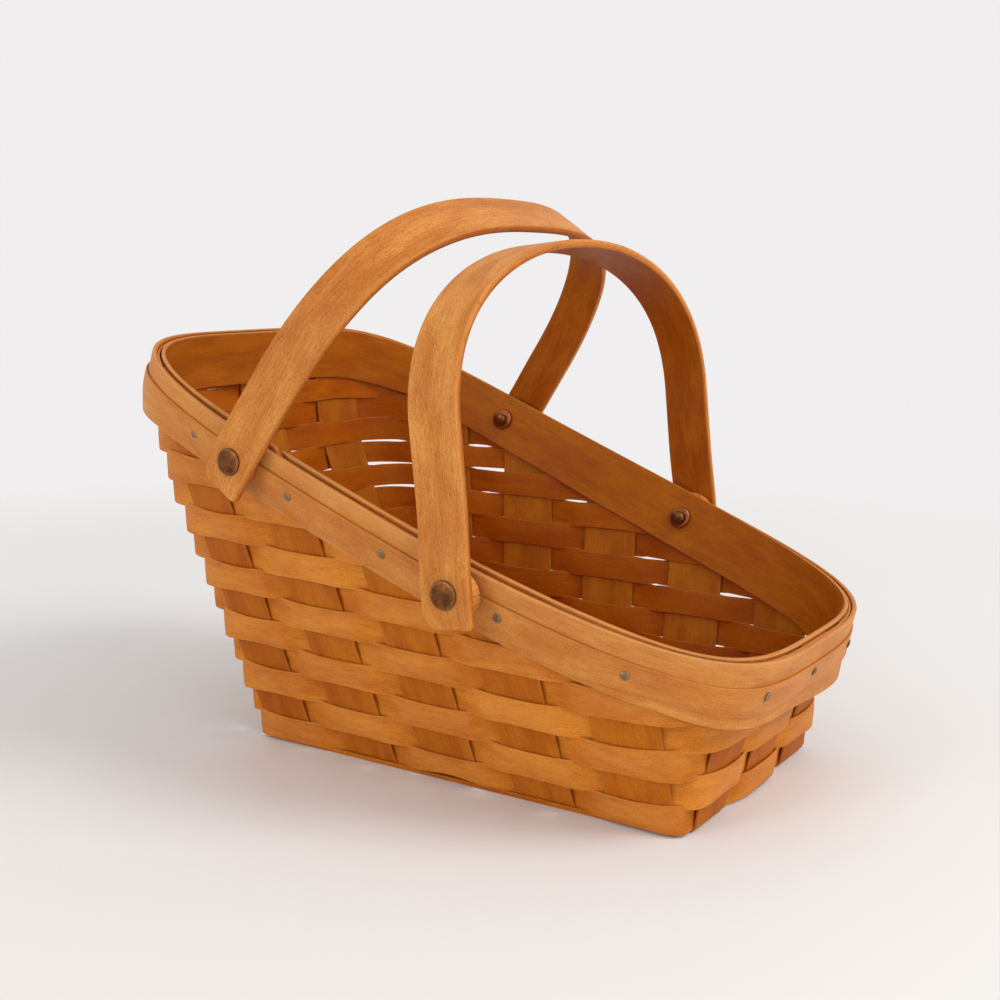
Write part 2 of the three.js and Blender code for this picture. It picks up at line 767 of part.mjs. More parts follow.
const tackHoles = tackBores();
const trimDrops = [TRIM_TOP_DROP, TRIM_TOP_DROP + TRIM_HEIGHT];
const innerBand = band([0, ...trimDrops, INNER_BAND_DROP], -BAND_FACE - INNER_BAND_THICK, -BAND_FACE, 0);
const outerBand = band([0, ...trimDrops, OUTER_BAND_DROP], BAND_FACE, OUTER_BAND_FACE, 1);
const trim = band(trimDrops, TRIM_FACE, TRIM_OUTSIDE, 1);
add('inner_band', cut(innerBand, PIVOT_BORES), 'band');
add('outer_band', cut(outerBand, [...PIVOT_BORES, ...tackHoles]), 'band');
add('trim_strip', cut(trim, [...PIVOT_BORES, ...tackHoles]), 'band');

const arches = {
  back: {
    rise: BACK_HANDLE_HEIGHT,
    leg: BACK_HANDLE_LEG,
    squareness: BACK_HANDLE_SQUARENESS,
    lean: BACK_HANDLE_LEAN,
    spacerRadius: BACK_SPACER_RADIUS,
  },
  front: {
    rise: FRONT_HANDLE_HEIGHT,
    leg: FRONT_HANDLE_LEG,
    squareness: FRONT_HANDLE_SQUARENESS,
    lean: FRONT_HANDLE_LEAN,
    spacerRadius: FRONT_SPACER_RADIUS,
  },
};

Object.entries(arches).forEach(([where, { rise, leg, squareness, lean, spacerRadius }]) => {
  const pivot = pivots[where];
  const hinge = new THREE.Group();
  hinge.position.set(pivot.x, 0, pivot.z);
  hinge.rotation.y = THREE.MathUtils.degToRad(lean);
  basket.add(hinge);
  add(`${where}_handle`, handle(rise, leg, squareness), 'handle', hinge);
  Object.entries({ near: NEAR, far: FAR }).forEach(([sideName, side]) => {
    const rivetGroup = new THREE.Group();
    rivetGroup.position.set(pivot.x, 0, pivot.z);
    rivetGroup.rotation.z = side === FAR ? 0 : Math.PI;
    basket.add(rivetGroup);
    add(`rivet_${where}_${sideName}`, rivet(pivot), 'rivet', rivetGroup);
    add(`burr_${where}_${sideName}`, burr(pivot, side), 'burr');
    add(`spacer_${where}_${sideName}`, spacer(pivot, side, spacerRadius), 'handle');
  });
});

Object.entries(TACK_PLACES).forEach(([wallName, places]) => {
  places.forEach((place, i) => {
    add(`tack_${wallName}_${i + 1}`, tackShape().applyMatrix4(place), 'tack');
  });
});

export default basket;
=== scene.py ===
"""Splint produce basket: smooth woven strips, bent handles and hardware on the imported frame."""

import math
import random

import bpy
import numpy as np
from mathutils import Matrix, Vector


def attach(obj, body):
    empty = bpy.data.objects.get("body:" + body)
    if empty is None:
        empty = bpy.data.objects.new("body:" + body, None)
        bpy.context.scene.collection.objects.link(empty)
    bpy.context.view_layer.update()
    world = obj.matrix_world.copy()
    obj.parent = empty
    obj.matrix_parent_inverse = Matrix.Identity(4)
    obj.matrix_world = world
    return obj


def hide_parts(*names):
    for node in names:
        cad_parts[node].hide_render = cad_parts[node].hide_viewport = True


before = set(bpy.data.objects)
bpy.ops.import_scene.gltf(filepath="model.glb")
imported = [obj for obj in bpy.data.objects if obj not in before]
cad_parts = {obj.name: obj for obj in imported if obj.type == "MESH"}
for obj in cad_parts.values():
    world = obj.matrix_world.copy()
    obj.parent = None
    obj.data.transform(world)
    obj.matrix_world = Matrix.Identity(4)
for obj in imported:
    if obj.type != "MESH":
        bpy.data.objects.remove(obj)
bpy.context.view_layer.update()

MM = 0.001
SEED = 41

# Sizes of the part, in millimetres
CLEARANCE = 0.3
BASE_LENGTH = 178.5
BASE_WIDTH = 107.0
SIDE_FLARE = 0.337
SIDE_TAPER = 0.0014
TALL_END_FLARE = 0.325
TALL_END_FLARE_GAIN = 0.00097
TALL_END_EASE_HEIGHT = 94.5
TALL_END_EASE = 0.0079
LOW_END_FLARE = 0.163
LOW_END_FLARE_GAIN = 0.0031
BASE_SOFTNESS = 0.03
TALL_SOFTNESS_GAIN = 0.00103
LOW_SOFTNESS_GAIN = 0.0043
LEAST_SOFTNESS = 0.02
MOST_SOFTNESS = 0.5
RIM_HEIGHT = 96.5
RIM_SLOPE = 0.371
RIM_SAG = 0.000247
CROSS_STAKES = 5
LENGTH_STAKES = 3
STAKE_WIDTH = 24.4
STAKE_THICK = 1.0
STAKE_END_INSET = 3.2
STAKE_SIDE_INSET = 4.5
STAKE_TOP_DROP = 1.5
CROSS_LEAN = -0.1385
CROSS_LEAN_GAIN = 0.00105
TALL_END_FAN = 0.0025
BEND_HEIGHT = 3.0
ROW_START = 1.0
ROW_GAP = 0.8
ROWS = 13
FULL_ROWS = 5
FULL_ROW_DROP = 9.0
WEAVER_THICK = 0.8
ROW_END_DROP = 12.5
INNER_BAND_DROP = 24.5
OUTER_BAND_DROP = 22.5
INNER_BAND_THICK = 2.0
OUTER_BAND_THICK = 1.8
TRIM_TOP_DROP = 7.3
TRIM_HEIGHT = 9.3
TRIM_THICK = 1.4
LOW_END_STAND = 2.6
LOW_END_STAND_FROM = 0.6
HANDLE_WIDTH = 18.0
HANDLE_THICK = 3.0
HANDLE_TAB = 11.0
HANDLE_TAB_CHAMFER = 4.0
HANDLE_RIM_GAP = 1.6
PIVOT_DROP = 10.0
RIVET_SHANK_RADIUS = 1.8
RIVET_HEAD_RADIUS = 4.8
RIVET_HEAD_THICK = 1.5
PEEN_RADIUS = 2.9
PEEN_THICK = 1.0
BURR_RADIUS = 4.2
BURR_THICK = 1.1
SPACER_EDGE = 0.8
TACK_HEAD_RADIUS = 1.55
TACK_HEAD_THICK = 0.5
TACK_SHANK_RADIUS = 0.6
SIDE_TACK_SHIFTS = [9.2, 7.9, 3.9, 5.0, 4.5]
END_TACK_Y = [-38.0, 0.0, 38.0]
# Stake, shift from its middle, rise, straight leg, squareness, lean in degrees and washer radius
HANDLES = {
    "back": (2, -10.3, 104.0, 15.0, 2.75, 33.5, 7.6),
    "front": (4, -7.1, 111.0, 53.0, 2.15, -6.7, 8.7),
}

# Places across the thickness of the wall, from the middle of the stakes
MAT_OFFSET = (STAKE_THICK + CLEARANCE) / 2
MAT_MIDDLE = STAKE_THICK + CLEARANCE / 2
WEAVE_REACH = (STAKE_THICK + WEAVER_THICK) / 2 + CLEARANCE + WEAVER_THICK / 2
BAND_FACE = WEAVE_REACH + CLEARANCE
OUTER_BAND_FACE = BAND_FACE + OUTER_BAND_THICK
TRIM_OUTSIDE = OUTER_BAND_FACE + CLEARANCE + TRIM_THICK

# Thickness of the rim's strips as they are seen, and how far they draw together towards the top
TRIM_SEEN_THICK = 0.9
INNER_SEEN_THICK = 1.6
TRIM_SEEN = OUTER_BAND_FACE + TRIM_SEEN_THICK
INNER_SEEN = BAND_FACE + INNER_SEEN_THICK
PINCH_OUTER = 0.5
PINCH_INNER = 1.3
PINCH_END = 0.5
STAKE_LEAN = 0.45

NEAR, FAR, TALL, LOW = -1, 1, -1, 1
SETTLE_STEPS = 18
PROBE = 0.1
TINY = 1e-6


# Wall surface
def softness(z, low):
    gain = LOW_SOFTNESS_GAIN if low else TALL_SOFTNESS_GAIN
    return min(MOST_SOFTNESS, max(LEAST_SOFTNESS, BASE_SOFTNESS + gain * z))


def slice_size(z):
    eased = max(0.0, z - TALL_END_EASE_HEIGHT)
    tall_out = TALL_END_FLARE * z + TALL_END_FLARE_GAIN * z * z - TALL_END_EASE * eased * eased
    low_out = LOW_END_FLARE * z + LOW_END_FLARE_GAIN * z * z
    middle = (low_out - tall_out) / 2
    return middle, (BASE_LENGTH + low_out + tall_out) / 2, BASE_WIDTH / 2 + SIDE_FLARE * z


def signed_power(value, power):
    return math.copysign(abs(value) ** power, value)


def slice_shares(x, y, z):
    middle, half_length, half_width = slice_size(z)
    along = (x - middle) / half_length
    across = y / (half_width * (1 + SIDE_TAPER * z * along))
    return along, across, 1 / softness(z, along > 0)


def slice_point(z, along, across):
    middle, half_length, half_width = slice_size(z)
    return middle + half_length * along, half_width * (1 + SIDE_TAPER * z * along) * across, z


def other_share(share, power):
    return max(0.0, 1 - abs(share) ** power) ** (1 / power)


def side_point(z, x, side):
    along, _, power = slice_shares(x, 0.0, z)
    return slice_point(z, along, side * other_share(along, power))


def end_point(z, y, end):
    along = float(end)
    for _ in range(SETTLE_STEPS):
        _, across, power = slice_shares(slice_point(z, along, 0.0)[0], y, z)
        along = end * other_share(across, power)
    _, across, _ = slice_shares(slice_point(z, along, 0.0)[0], y, z)
    return slice_point(z, along, across)


def corner_point(first, second, share):
    def turn_of(p):
        along, across, power = slice_shares(*p)
        return math.atan2(signed_power(across, power / 2), signed_power(along, power / 2))
    start = turn_of(first)
    turn = start + share * ((turn_of(second) - start) % (2 * math.pi))
    power = 2 * softness(first[2], math.cos(turn) > 0)
    return slice_point(first[2], signed_power(math.cos(turn), power), signed_power(math.sin(turn), power))


def wall_normal(p):
    def field(axis, step):
        moved = list(p)
        moved[axis] += step
        along, across, power = slice_shares(*moved)
        return abs(along) ** power + abs(across) ** power
    grad = np.array([field(axis, PROBE) - field(axis, -PROBE) for axis in range(3)])
    return grad / np.linalg.norm(grad)


def level_normal(p):
    """The wall's outward direction on the level, stretched to clear the sloping wall by one."""
    normal = wall_normal(p)
    return np.array([normal[0], normal[1], 0.0]) / (normal[0] ** 2 + normal[1] ** 2)


def rim_height(x):
    return RIM_HEIGHT - RIM_SLOPE * x + RIM_SAG * x * x


def rim_x(height):
    root = math.sqrt(RIM_SLOPE ** 2 - 4 * RIM_SAG * (RIM_HEIGHT - height))
    return (RIM_SLOPE - root) / (2 * RIM_SAG)


def height_under_rim(at, drop=0.0):
    z = RIM_HEIGHT
    for _ in range(2 * SETTLE_STEPS):
        z = (z + rim_height(at(z)[0]) - drop) / 2
    return z


# Posts: where the stakes stand in the wall, in order round the basket
def spread(count, reach):
    return [reach * (2 * i / (count - 1) - 1) for i in range(count)]


CROSS_X = spread(CROSS_STAKES, BASE_LENGTH / 2 - STAKE_END_INSET - STAKE_WIDTH / 2)
LENGTH_Y = spread(LENGTH_STAKES, BASE_WIDTH / 2 - STAKE_SIDE_INSET - STAKE_WIDTH / 2)


def cross_line(stake, side, shift=0.0):
    x = CROSS_X[stake - 1]
    lean = CROSS_LEAN + CROSS_LEAN_GAIN * x
    return lambda z: side_point(z, x + lean * z + shift, side)


def end_line(y, end):
    fan = TALL_END_FAN if end == TALL else 0.0
    return lambda z: end_point(z, y * (1 + fan * z), end)


# The axis that a wall runs along, and the call that gives its points
KINDS = {"side": (0, side_point), "end": (1, end_point)}


def post(line, kind, sign):
    """The two edges of a stake that stands on a line up a wall, in order round the basket."""
    axis, point = KINDS[kind]

    def edge(way):
        def at(z):
            middle = line(z)
            normal = wall_normal(middle)
            reach = STAKE_WIDTH * abs(normal[1 - axis]) / 2 / math.hypot(normal[0], normal[1])
            return point(z, middle[axis] + way * reach, sign)
        return at
    way = sign if kind == "side" else -sign
    return edge(way), edge(-way)


NUMBERS = range(1, CROSS_STAKES + 1)
WALLS = [
    ("side", NEAR, [post(cross_line(i, NEAR), "side", NEAR) for i in NUMBERS]),
    ("end", LOW, [post(end_line(y, LOW), "end", LOW) for y in LENGTH_Y]),
    ("side", FAR, [post(cross_line(i, FAR), "side", FAR) for i in reversed(NUMBERS)]),
    ("end", TALL, [post(end_line(y, TALL), "end", TALL) for y in reversed(LENGTH_Y)]),
]
POSTS = [edges for _, _, posts in WALLS for edges in posts]
POST_HALF = 0.33


def between(first, second, share, kind, sign):
    """Line up the wall at a share of the way between two lines on the same wall."""
    axis, point = KINDS[kind]

    def at(z):
        a, b = first(z)[axis], second(z)[axis]
        return point(z, a + share * (b - a), sign)
    return at


def round_corner(first, second, share):
    return lambda z: corner_point(first(z), second(z), share)


def make_ring(post_steps, gap_steps, corner_steps):
    """Lines up the wall all the way round: (phase, line), with phase k at the middle of post k."""
    lines = []
    gap = 1 - 2 * POST_HALF

    def add(start, span, steps, line_at):
        for k in range(steps):
            lines.append((start + span * (k / steps), line_at(k / steps)))

    number = 0
    for w, (kind, sign, posts) in enumerate(WALLS):
        for i, (first, second) in enumerate(posts):
            start, stop = number - POST_HALF, number + POST_HALF
            add(start, 2 * POST_HALF, post_steps, lambda t: between(first, second, t, kind, sign))
            if i + 1 < len(posts):
                third = posts[i + 1][0]
                add(stop, gap, gap_steps, lambda t: between(second, third, t, kind, sign))
            else:
                third = WALLS[(w + 1) % len(WALLS)][2][0][0]
                add(stop, gap, corner_steps, lambda t: round_corner(second, third, t))
            number += 1
    return lines


RING = make_ring(post_steps=8, gap_steps=6, corner_steps=16)
TURNS = len(POSTS)
RIM = [height_under_rim(at) for _, at in RING]
LOW_RIM = height_under_rim(lambda z: end_point(z, 0.0, LOW))
ROW_PITCH = (LOW_RIM - FULL_ROW_DROP + ROW_GAP - ROW_START) / FULL_ROWS


def ring_run(start, stop):
    """Ring entries with phases from start to stop, going round more than once if need be."""
    run = []
    for lap in range(-1, 3):
        for i, (phase, at) in enumerate(RING):
            place = phase + lap * TURNS
            if start <= place <= stop:
                run.append((place, at, RIM[i]))
    return run


def smooth(low, high, value):
    t = min(1.0, max(0.0, (value - low) / (high - low)))
    return t * t * (3 - 2 * t)


# Meshes
MOST_ROUND = 0.49
CORNER_WEAR = 0.35
FACE_WEAR = 0.04
END_THIN = 0.55
TOP_WEAR_REACH = 0.55
# How fast the painted highlight and wear on a weaver's raised part fall off towards the strip's edges
RAISED_SHEEN_FALL = 3
ACROSS_SHIFT = 0.37


def rounded_profile(width, thick, radius, fade, steps=3, faces=3):
    """Corners of a strip's section: (across 0..1, through -1..1, wear 0..1), outside face first."""
    radius = min(radius, MOST_ROUND * thick)
    half = thick / 2
    flat = radius + fade
    room = width - 2 * radius - 2 * fade
    stops = [radius, flat, *(flat + room * (k + 1) / (faces + 1) for k in range(faces)),
             width - radius - fade, width - radius]
    wears = [CORNER_WEAR, FACE_WEAR, *[0.0] * faces, FACE_WEAR, CORNER_WEAR]
    bend = []
    for k in range(steps):
        turn = math.pi / 2 * (k + 1) / (steps + 1)
        across = (radius - radius * math.sin(turn)) / width
        bend.append((across, (half - radius + radius * math.cos(turn)) / half))
    bend.append((0.0, (half - radius) / half))
    points = [(stop / width, 1.0, wear) for stop, wear in zip(stops, wears)]
    points += [(1 - across, through, 1.0) for across, through in bend]
    points += [(1 - across, -through, 1.0) for across, through in reversed(bend)]
    return points + [(1 - across, -through, wear) for across, through, wear in points]


def grid_normals(grid):
    along = np.gradient(grid, axis=0)
    across = np.gradient(grid, axis=1)
    normal = np.cross(along, across)
    return normal / np.maximum(np.linalg.norm(normal, axis=2, keepdims=True), TINY)


def facing_out(vertices, faces):
    """The faces of a closed mesh, turned round if they face inwards."""
    places = np.asarray(vertices)
    fans = np.array([(f[0], f[k], f[k + 1]) for f in faces for k in range(1, len(f) - 1)])
    a, b, c = (places[fans[:, k]] for k in range(3))
    volume = np.sum(a * np.cross(b, c))
    return faces if volume >= 0 else [tuple(reversed(f)) for f in faces]


def added(name, data):
    obj = bpy.data.objects.new(name, data)
    bpy.context.scene.collection.objects.link(obj)
    return obj


def new_object(name, vertices, faces, data, node, slot, material, body="basket"):
    """A mesh piece that stands for a CAD node; data holds the point attributes."""
    mesh = bpy.data.meshes.new(name)
    mesh.from_pydata([tuple(v) for v in np.asarray(vertices) * MM], [], faces)
    for key, values in data.items():
        values = np.asarray(values, dtype=np.float32)
        kind = "FLOAT_VECTOR" if values.ndim == 2 else "FLOAT"
        layer = mesh.attributes.new(key, kind, "POINT")
        layer.data.foreach_set("vector" if values.ndim == 2 else "value", values.ravel())
    mesh.polygons.foreach_set("use_smooth", [True] * len(mesh.polygons))
    mesh.materials.append(material)
    mesh.validate()
    mesh.update()
    obj = added(name, mesh)
    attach(obj, body)
    if node:
        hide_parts(node)


def strip_data(grid, thick, outward, profile, tone, shift, ends=0.25, top_wear=0.0, raised_sheen_and_wear=None):
    """Vertices, faces and attributes of a flat strip about a grid of points (stations, lines, 3)."""
    grid = np.asarray(grid, dtype=float)
    normals = grid_normals(grid)
    centre = grid.shape[1] // 2
    if np.dot(normals[len(grid) // 2, centre], outward) < 0:
        normals = -normals
    spine = grid[:, centre]
    step = np.linalg.norm(np.diff(spine, axis=0), axis=1)
    run = np.concatenate([[0.0], np.cumsum(step)])
    width = np.linalg.norm(np.diff(grid, axis=1), axis=2).sum(axis=1).mean()
    stations = [(0, END_THIN), *((i, 1.0) for i in range(len(grid))), (len(grid) - 1, END_THIN)]
    vertices, strip, wear = [], [], []
    lines = grid.shape[1] - 1
    last = len(stations) - 1
    pushes = {0: (spine[0] - spine[1]) / step[0] * ends, last: (spine[-1] - spine[-2]) / step[-1] * ends}
    for s, (i, thin) in enumerate(stations):
        push = pushes.get(s, np.zeros(3))
        for v, w, worn in profile:
            place = v * lines
            k = min(int(place), lines - 1)
            share = place - k
            point = grid[i, k] * (1 - share) + grid[i, k + 1] * share
            normal = normals[i, k] * (1 - share) + normals[i, k + 1] * share
            vertices.append(point + push + normal * (w * thin * thick / 2))
            strip.append((run[i] + shift, v * width + ACROSS_SHIFT * shift, w))
            if w > 0:
                worn = max(worn, top_wear * (1 - smooth(0.0, TOP_WEAR_REACH, v)))
                # Painted highlight, with some wear, along the middle of the outer face where the strip bulges
                # out
                if raised_sheen_and_wear:
                    worn = max(worn, raised_sheen_and_wear[i] * (1 - abs(2 * v - 1) ** RAISED_SHEEN_FALL))
            wear.append(1.0 if s in (0, last) else worn)
    count = len(profile)
    faces = []
    for s in range(last):
        for k in range(count):
            a, b = s * count + k, s * count + (k + 1) % count
            faces.append((a, b, b + count, a + count))
    faces.append(tuple(reversed(range(count))))
    faces.append(tuple(last * count + k for k in range(count)))
    # The wear attribute holds worn edges and, on the weavers, the painted highlight of their raised parts
    data = {"strip": strip, "wear": wear, "tone": np.full(len(vertices), tone)}
    return vertices, facing_out(vertices, faces), data


# Materials
class Shader:
    """Short calls for the nodes of a material or of the world."""

    def __init__(self, owner, shader="Principled BSDF"):
        owner.use_nodes = True
        self.nodes, self.links = owner.node_tree.nodes, owner.node_tree.links
        self.out = self.nodes[shader]

    def feed(self, socket, value):
        """Sets a socket to a number or a colour, or links another node's output to it."""
        if isinstance(value, (int, float)):
            socket.default_value = value
        elif isinstance(value, tuple):
            socket.default_value = (*value, 1.0)
        else:
            self.links.new(value, socket)

    def set(self, socket, value):
        self.feed(self.out.inputs[socket], value)

    def add(self, kind, inputs, output=0, **settings):
        """Makes a node, sets it up, feeds its inputs and gives back one or all of its outputs."""
        node = self.nodes.new(f"ShaderNode{kind}")
        for key, value in settings.items():
            setattr(node, key, value)
        for key, value in inputs.items():
            self.feed(node.inputs[key], value)
        return node.outputs if output is None else node.outputs[output]

    def attribute(self, name, output="Fac"):
        return self.add("Attribute", {}, output, attribute_name=name)

    def place(self):
        return self.add("TexCoord", {}, "Object")

    def split(self, vector):
        return self.add("SeparateXYZ", {0: vector}, None)

    def math(self, operation, a, b, clamp=False):
        return self.add("Math", {0: a, 1: b}, operation=operation, use_clamp=clamp)

    def times(self, a, b, clamp=False):
        return self.math("MULTIPLY", a, b, clamp)

    def vector(self, *values):
        return self.add("CombineXYZ", dict(enumerate(values)))

    def noise(self, vector, detail, roughness=0.55, distortion=0.0):
        look = {"Scale": 1.0, "Detail": detail, "Roughness": roughness, "Distortion": distortion}
        return self.add("TexNoise", {"Vector": vector, **look}, "Fac")

    def ramp(self, value, low, high, start=0.0, stop=1.0):
        spans = {"From Min": low, "From Max": high, "To Min": start, "To Max": stop}
        return self.add("MapRange", {"Value": value, **spans}, "Result", interpolation_type="SMOOTHSTEP")

    def mix(self, factor, a, b, blend="MIX"):
        return self.add("Mix", {0: factor, 6: a, 7: b}, 2, data_type="RGBA", blend_type=blend)

    def bump(self, height, strength, distance):
        sizes = {"Strength": strength, "Distance": distance}
        self.set("Normal", self.add("Bump", {"Height": height, **sizes}, "Normal"))

    def show(self, share, backdrop, output):
        """Shows a plain backdrop in place of the shader, to a share of the rays."""
        blend = self.add("MixShader", {0: share, 1: self.out.outputs[0], 2: backdrop})
        self.feed(self.nodes[output].inputs["Surface"], blend)


# Scale along and across the strip, seed, detail, roughness and distortion of the wood's noises
BLOTCH = (0.035, 0.11, 1.0, 2.0, 0.55, 0.0)
CLOUD = (0.16, 0.5, 5.0, 3.0, 0.6, 0.0)
GRAIN = (0.10, 1.7, 9.0, 3.0, 0.55, 0.4)
FIBRE = (0.9, 4.6, 14.0, 3.0, 0.65, 0.0)
DASH = (0.62, 4.4, 21.0, 1.0, 0.5, 0.0)
SPECK = (1.9, 2.8, 27.0, 1.0, 0.5, 0.0)
FACE_SEED = 1.3
# Parts of a noise's range that a stain spreads over, and how far some of them shade the colour
SOFT_SPAN = (0.3, 0.7)
GRAIN_SPAN = (0.25, 0.75)
CLOUD_REACH = 0.05
FIBRE_REACH = 0.10
SPECK_REACH = 0.07
TONE_REACH, TONE_LEAST = 0.22, 0.89
STAIN_POWERS = (0.75, 1.35, 1.9)
FLECK_SPAN = (0.60, 0.72)
FLECK_COLOUR = (0.20, 0.052, 0.006)
RUB_SPAN, RUB_LEAST = (0.25, 0.65), 0.3
INSIDE_RUB = 0.55
DRIER, GLOSSIER, FLECK_DRY = 0.09, 0.07, 0.2
WOOD_IOR = 1.5
GRAIN_DEPTH, FIBRE_DEPTH, FLECK_DEPTH = 0.6, 0.3, 0.5
WOOD_BUMP = (0.25, 0.00016)


def wood(name, outer, inner, edge, fleck, streak, gloss, rub, mottle, shine):
    """Stained splint: grain along the strip, mottled stain, dark flecks, pale worn edges, a painted highlight
    on the weavers' raised parts, darker inside.
    """
    material = bpy.data.materials.new(name)
    s = Shader(material)
    u, v, face = s.split(s.attribute("strip", "Vector"))
    tone, worn = s.attribute("tone"), s.attribute("wear")

    def strip_noise(along, across, seed, *look):
        depth = s.math("ADD", s.times(face, FACE_SEED), seed)
        return s.noise(s.vector(s.times(u, along), s.times(v, across), depth), *look)

    blotch, cloud, grain, fibre, dash, speck = (
        strip_noise(*kind) for kind in (BLOTCH, CLOUD, GRAIN, FIBRE, DASH, SPECK))

    colour = s.mix(s.ramp(face, -0.6, 0.6), inner, outer)
    shade = s.ramp(blotch, *SOFT_SPAN, 1 - mottle, 1 + mottle)
    for noise, span, reach in ((cloud, SOFT_SPAN, CLOUD_REACH), (grain, GRAIN_SPAN, streak),
                               (fibre, GRAIN_SPAN, FIBRE_REACH), (speck, SOFT_SPAN, SPECK_REACH)):
        shade = s.times(shade, s.ramp(noise, *span, 1 - reach, 1 + reach))
    shade = s.times(shade, s.math("ADD", s.times(tone, TONE_REACH), TONE_LEAST))
    stain = s.vector(*(s.math("POWER", shade, power) for power in STAIN_POWERS))
    colour = s.mix(1.0, colour, stain, "MULTIPLY")
    dark = s.ramp(dash, *FLECK_SPAN, 0.0, fleck)
    colour = s.mix(dark, colour, FLECK_COLOUR)
    # Pale worn edges, and on the weavers a painted highlight on their raised parts, both from the wear
    # attribute
    rub_and_sheen = s.times(worn, s.ramp(cloud, *RUB_SPAN, RUB_LEAST * rub, rub), clamp=True)
    rub_and_sheen = s.times(rub_and_sheen, s.ramp(face, -1.0, 0.2, INSIDE_RUB, 1.0))
    s.set("Base Color", s.mix(rub_and_sheen, colour, edge))
    dry = s.ramp(cloud, 0.2, 0.8, gloss - GLOSSIER, gloss + DRIER)
    s.set("Roughness", s.math("ADD", dry, s.times(dark, FLECK_DRY)))
    s.set("Specular IOR Level", shine)
    s.set("IOR", WOOD_IOR)
    height = s.math("ADD", s.times(grain, GRAIN_DEPTH), s.times(fibre, FIBRE_DEPTH))
    s.bump(s.math("SUBTRACT", height, s.times(dark, FLECK_DEPTH)), *WOOD_BUMP)
    return material


# Scale and stretch, detail and roughness of the metal's noises
PATINA = (420.0, 1.0, 4.0, 0.65)
SPOTS = (1600.0, 1.0, 2.0, 0.55)
SCRATCHES = (700.0, 6.0, 2.0, 0.55)
DULL, CLEAN, PITTED = 0.55, 1.25, 0.35
MOST_PITS = 0.45
METALLIC = 0.85
DULLER, BRIGHTER = 0.12, 0.08
PATINA_DEPTH, SCRATCH_DEPTH = 0.7, 0.3
METAL_BUMP = (0.4, 0.0002)


def metal(name, colour, bright, roughness, scratch):
    """Aged metal: clouded patina with a rubbed edge and fine scratches."""
    material = bpy.data.materials.new(name)
    s = Shader(material)
    x, y, z = s.split(s.place())

    def solid_noise(scale, stretch, *look):
        return s.noise(s.vector(s.times(x, scale), s.times(y, scale), s.times(z, scale * stretch)), *look)

    def toned(share):
        return tuple(share * c for c in colour)

    patina, spots, lines = (solid_noise(*kind) for kind in (PATINA, SPOTS, SCRATCHES))
    base = s.mix(s.ramp(patina, 0.35, 0.68), toned(DULL), toned(CLEAN))
    base = s.mix(s.ramp(spots, 0.6, 0.75, 0.0, MOST_PITS), base, toned(PITTED))
    rub = s.times(s.attribute("wear"), s.ramp(patina, 0.25, 0.7, 0.35, 0.9), clamp=True)
    rub = s.math("ADD", rub, s.ramp(lines, 0.62, 0.72, 0.0, scratch), clamp=True)
    s.set("Base Color", s.mix(rub, base, bright))
    s.set("Metallic", METALLIC)
    s.set("Roughness", s.ramp(patina, 0.2, 0.8, roughness + DULLER, roughness - BRIGHTER))
    s.bump(s.math("ADD", s.times(patina, PATINA_DEPTH), s.times(lines, SCRATCH_DEPTH)), *METAL_BUMP)
    return material


WEAVER_WOOD = wood(
    "weaver_stain", outer=(0.57, 0.178, 0.017), inner=(0.40, 0.088, 0.001), edge=(0.62, 0.26, 0.07),
    fleck=0.30, streak=0.07, gloss=0.50, rub=0.45, mottle=0.14, shine=0.1)
STAKE_WOOD = wood(
    "stake_stain", outer=(0.42, 0.108, 0.005), inner=(0.41, 0.112, 0.004), edge=(0.58, 0.22, 0.045),
    fleck=0.28, streak=0.08, gloss=0.54, rub=0.40, mottle=0.14, shine=0.1)
BAND_WOOD = wood(
    "band_stain", outer=(0.56, 0.205, 0.040), inner=(0.375, 0.094, 0.001), edge=(0.62, 0.27, 0.085),
    fleck=0.30, streak=0.09, gloss=0.52, rub=0.55, mottle=0.14, shine=0.12)
TRIM_WOOD = wood(
    "trim_stain", outer=(0.54, 0.19, 0.036), inner=(0.40, 0.10, 0.005), edge=(0.58, 0.23, 0.055),
    fleck=0.30, streak=0.07, gloss=0.48, rub=0.45, mottle=0.12, shine=0.16)
HANDLE_WOOD = wood(
    "handle_stain", outer=(0.575, 0.21, 0.042), inner=(0.37, 0.090, 0.003), edge=(0.56, 0.205, 0.042),
    fleck=0.62, streak=0.11, gloss=0.48, rub=0.45, mottle=0.17, shine=0.12)
RIVET_METAL = metal("rivet_bronze", (0.15, 0.040, 0.007), (0.30, 0.138, 0.044), 0.42, 0.25)
BURR_METAL = metal("burr_copper", (0.26, 0.062, 0.015), (0.45, 0.155, 0.050), 0.42, 0.2)
TACK_METAL = metal("tack_steel", (0.25, 0.158, 0.088), (0.39, 0.255, 0.15), 0.5, 0.15)

draw = random.Random(SEED)
# Range of the strips' tones, and the step between the places of their grain
TONES = (0.1, 0.9)
GRAIN_STEP = 700.0


def wave(amount, terms=4):
    """A smooth closed wobble along the ring."""
    parts = [(draw.uniform(0.3, 1.0), draw.randint(1, 9), draw.uniform(0, 2 * math.pi)) for _ in range(terms)]
    total = sum(p[0] for p in parts)

    def at(phase):
        turn = 2 * math.pi * phase / TURNS
        return amount * sum(a * math.sin(n * turn + o) for a, n, o in parts) / total
    return at


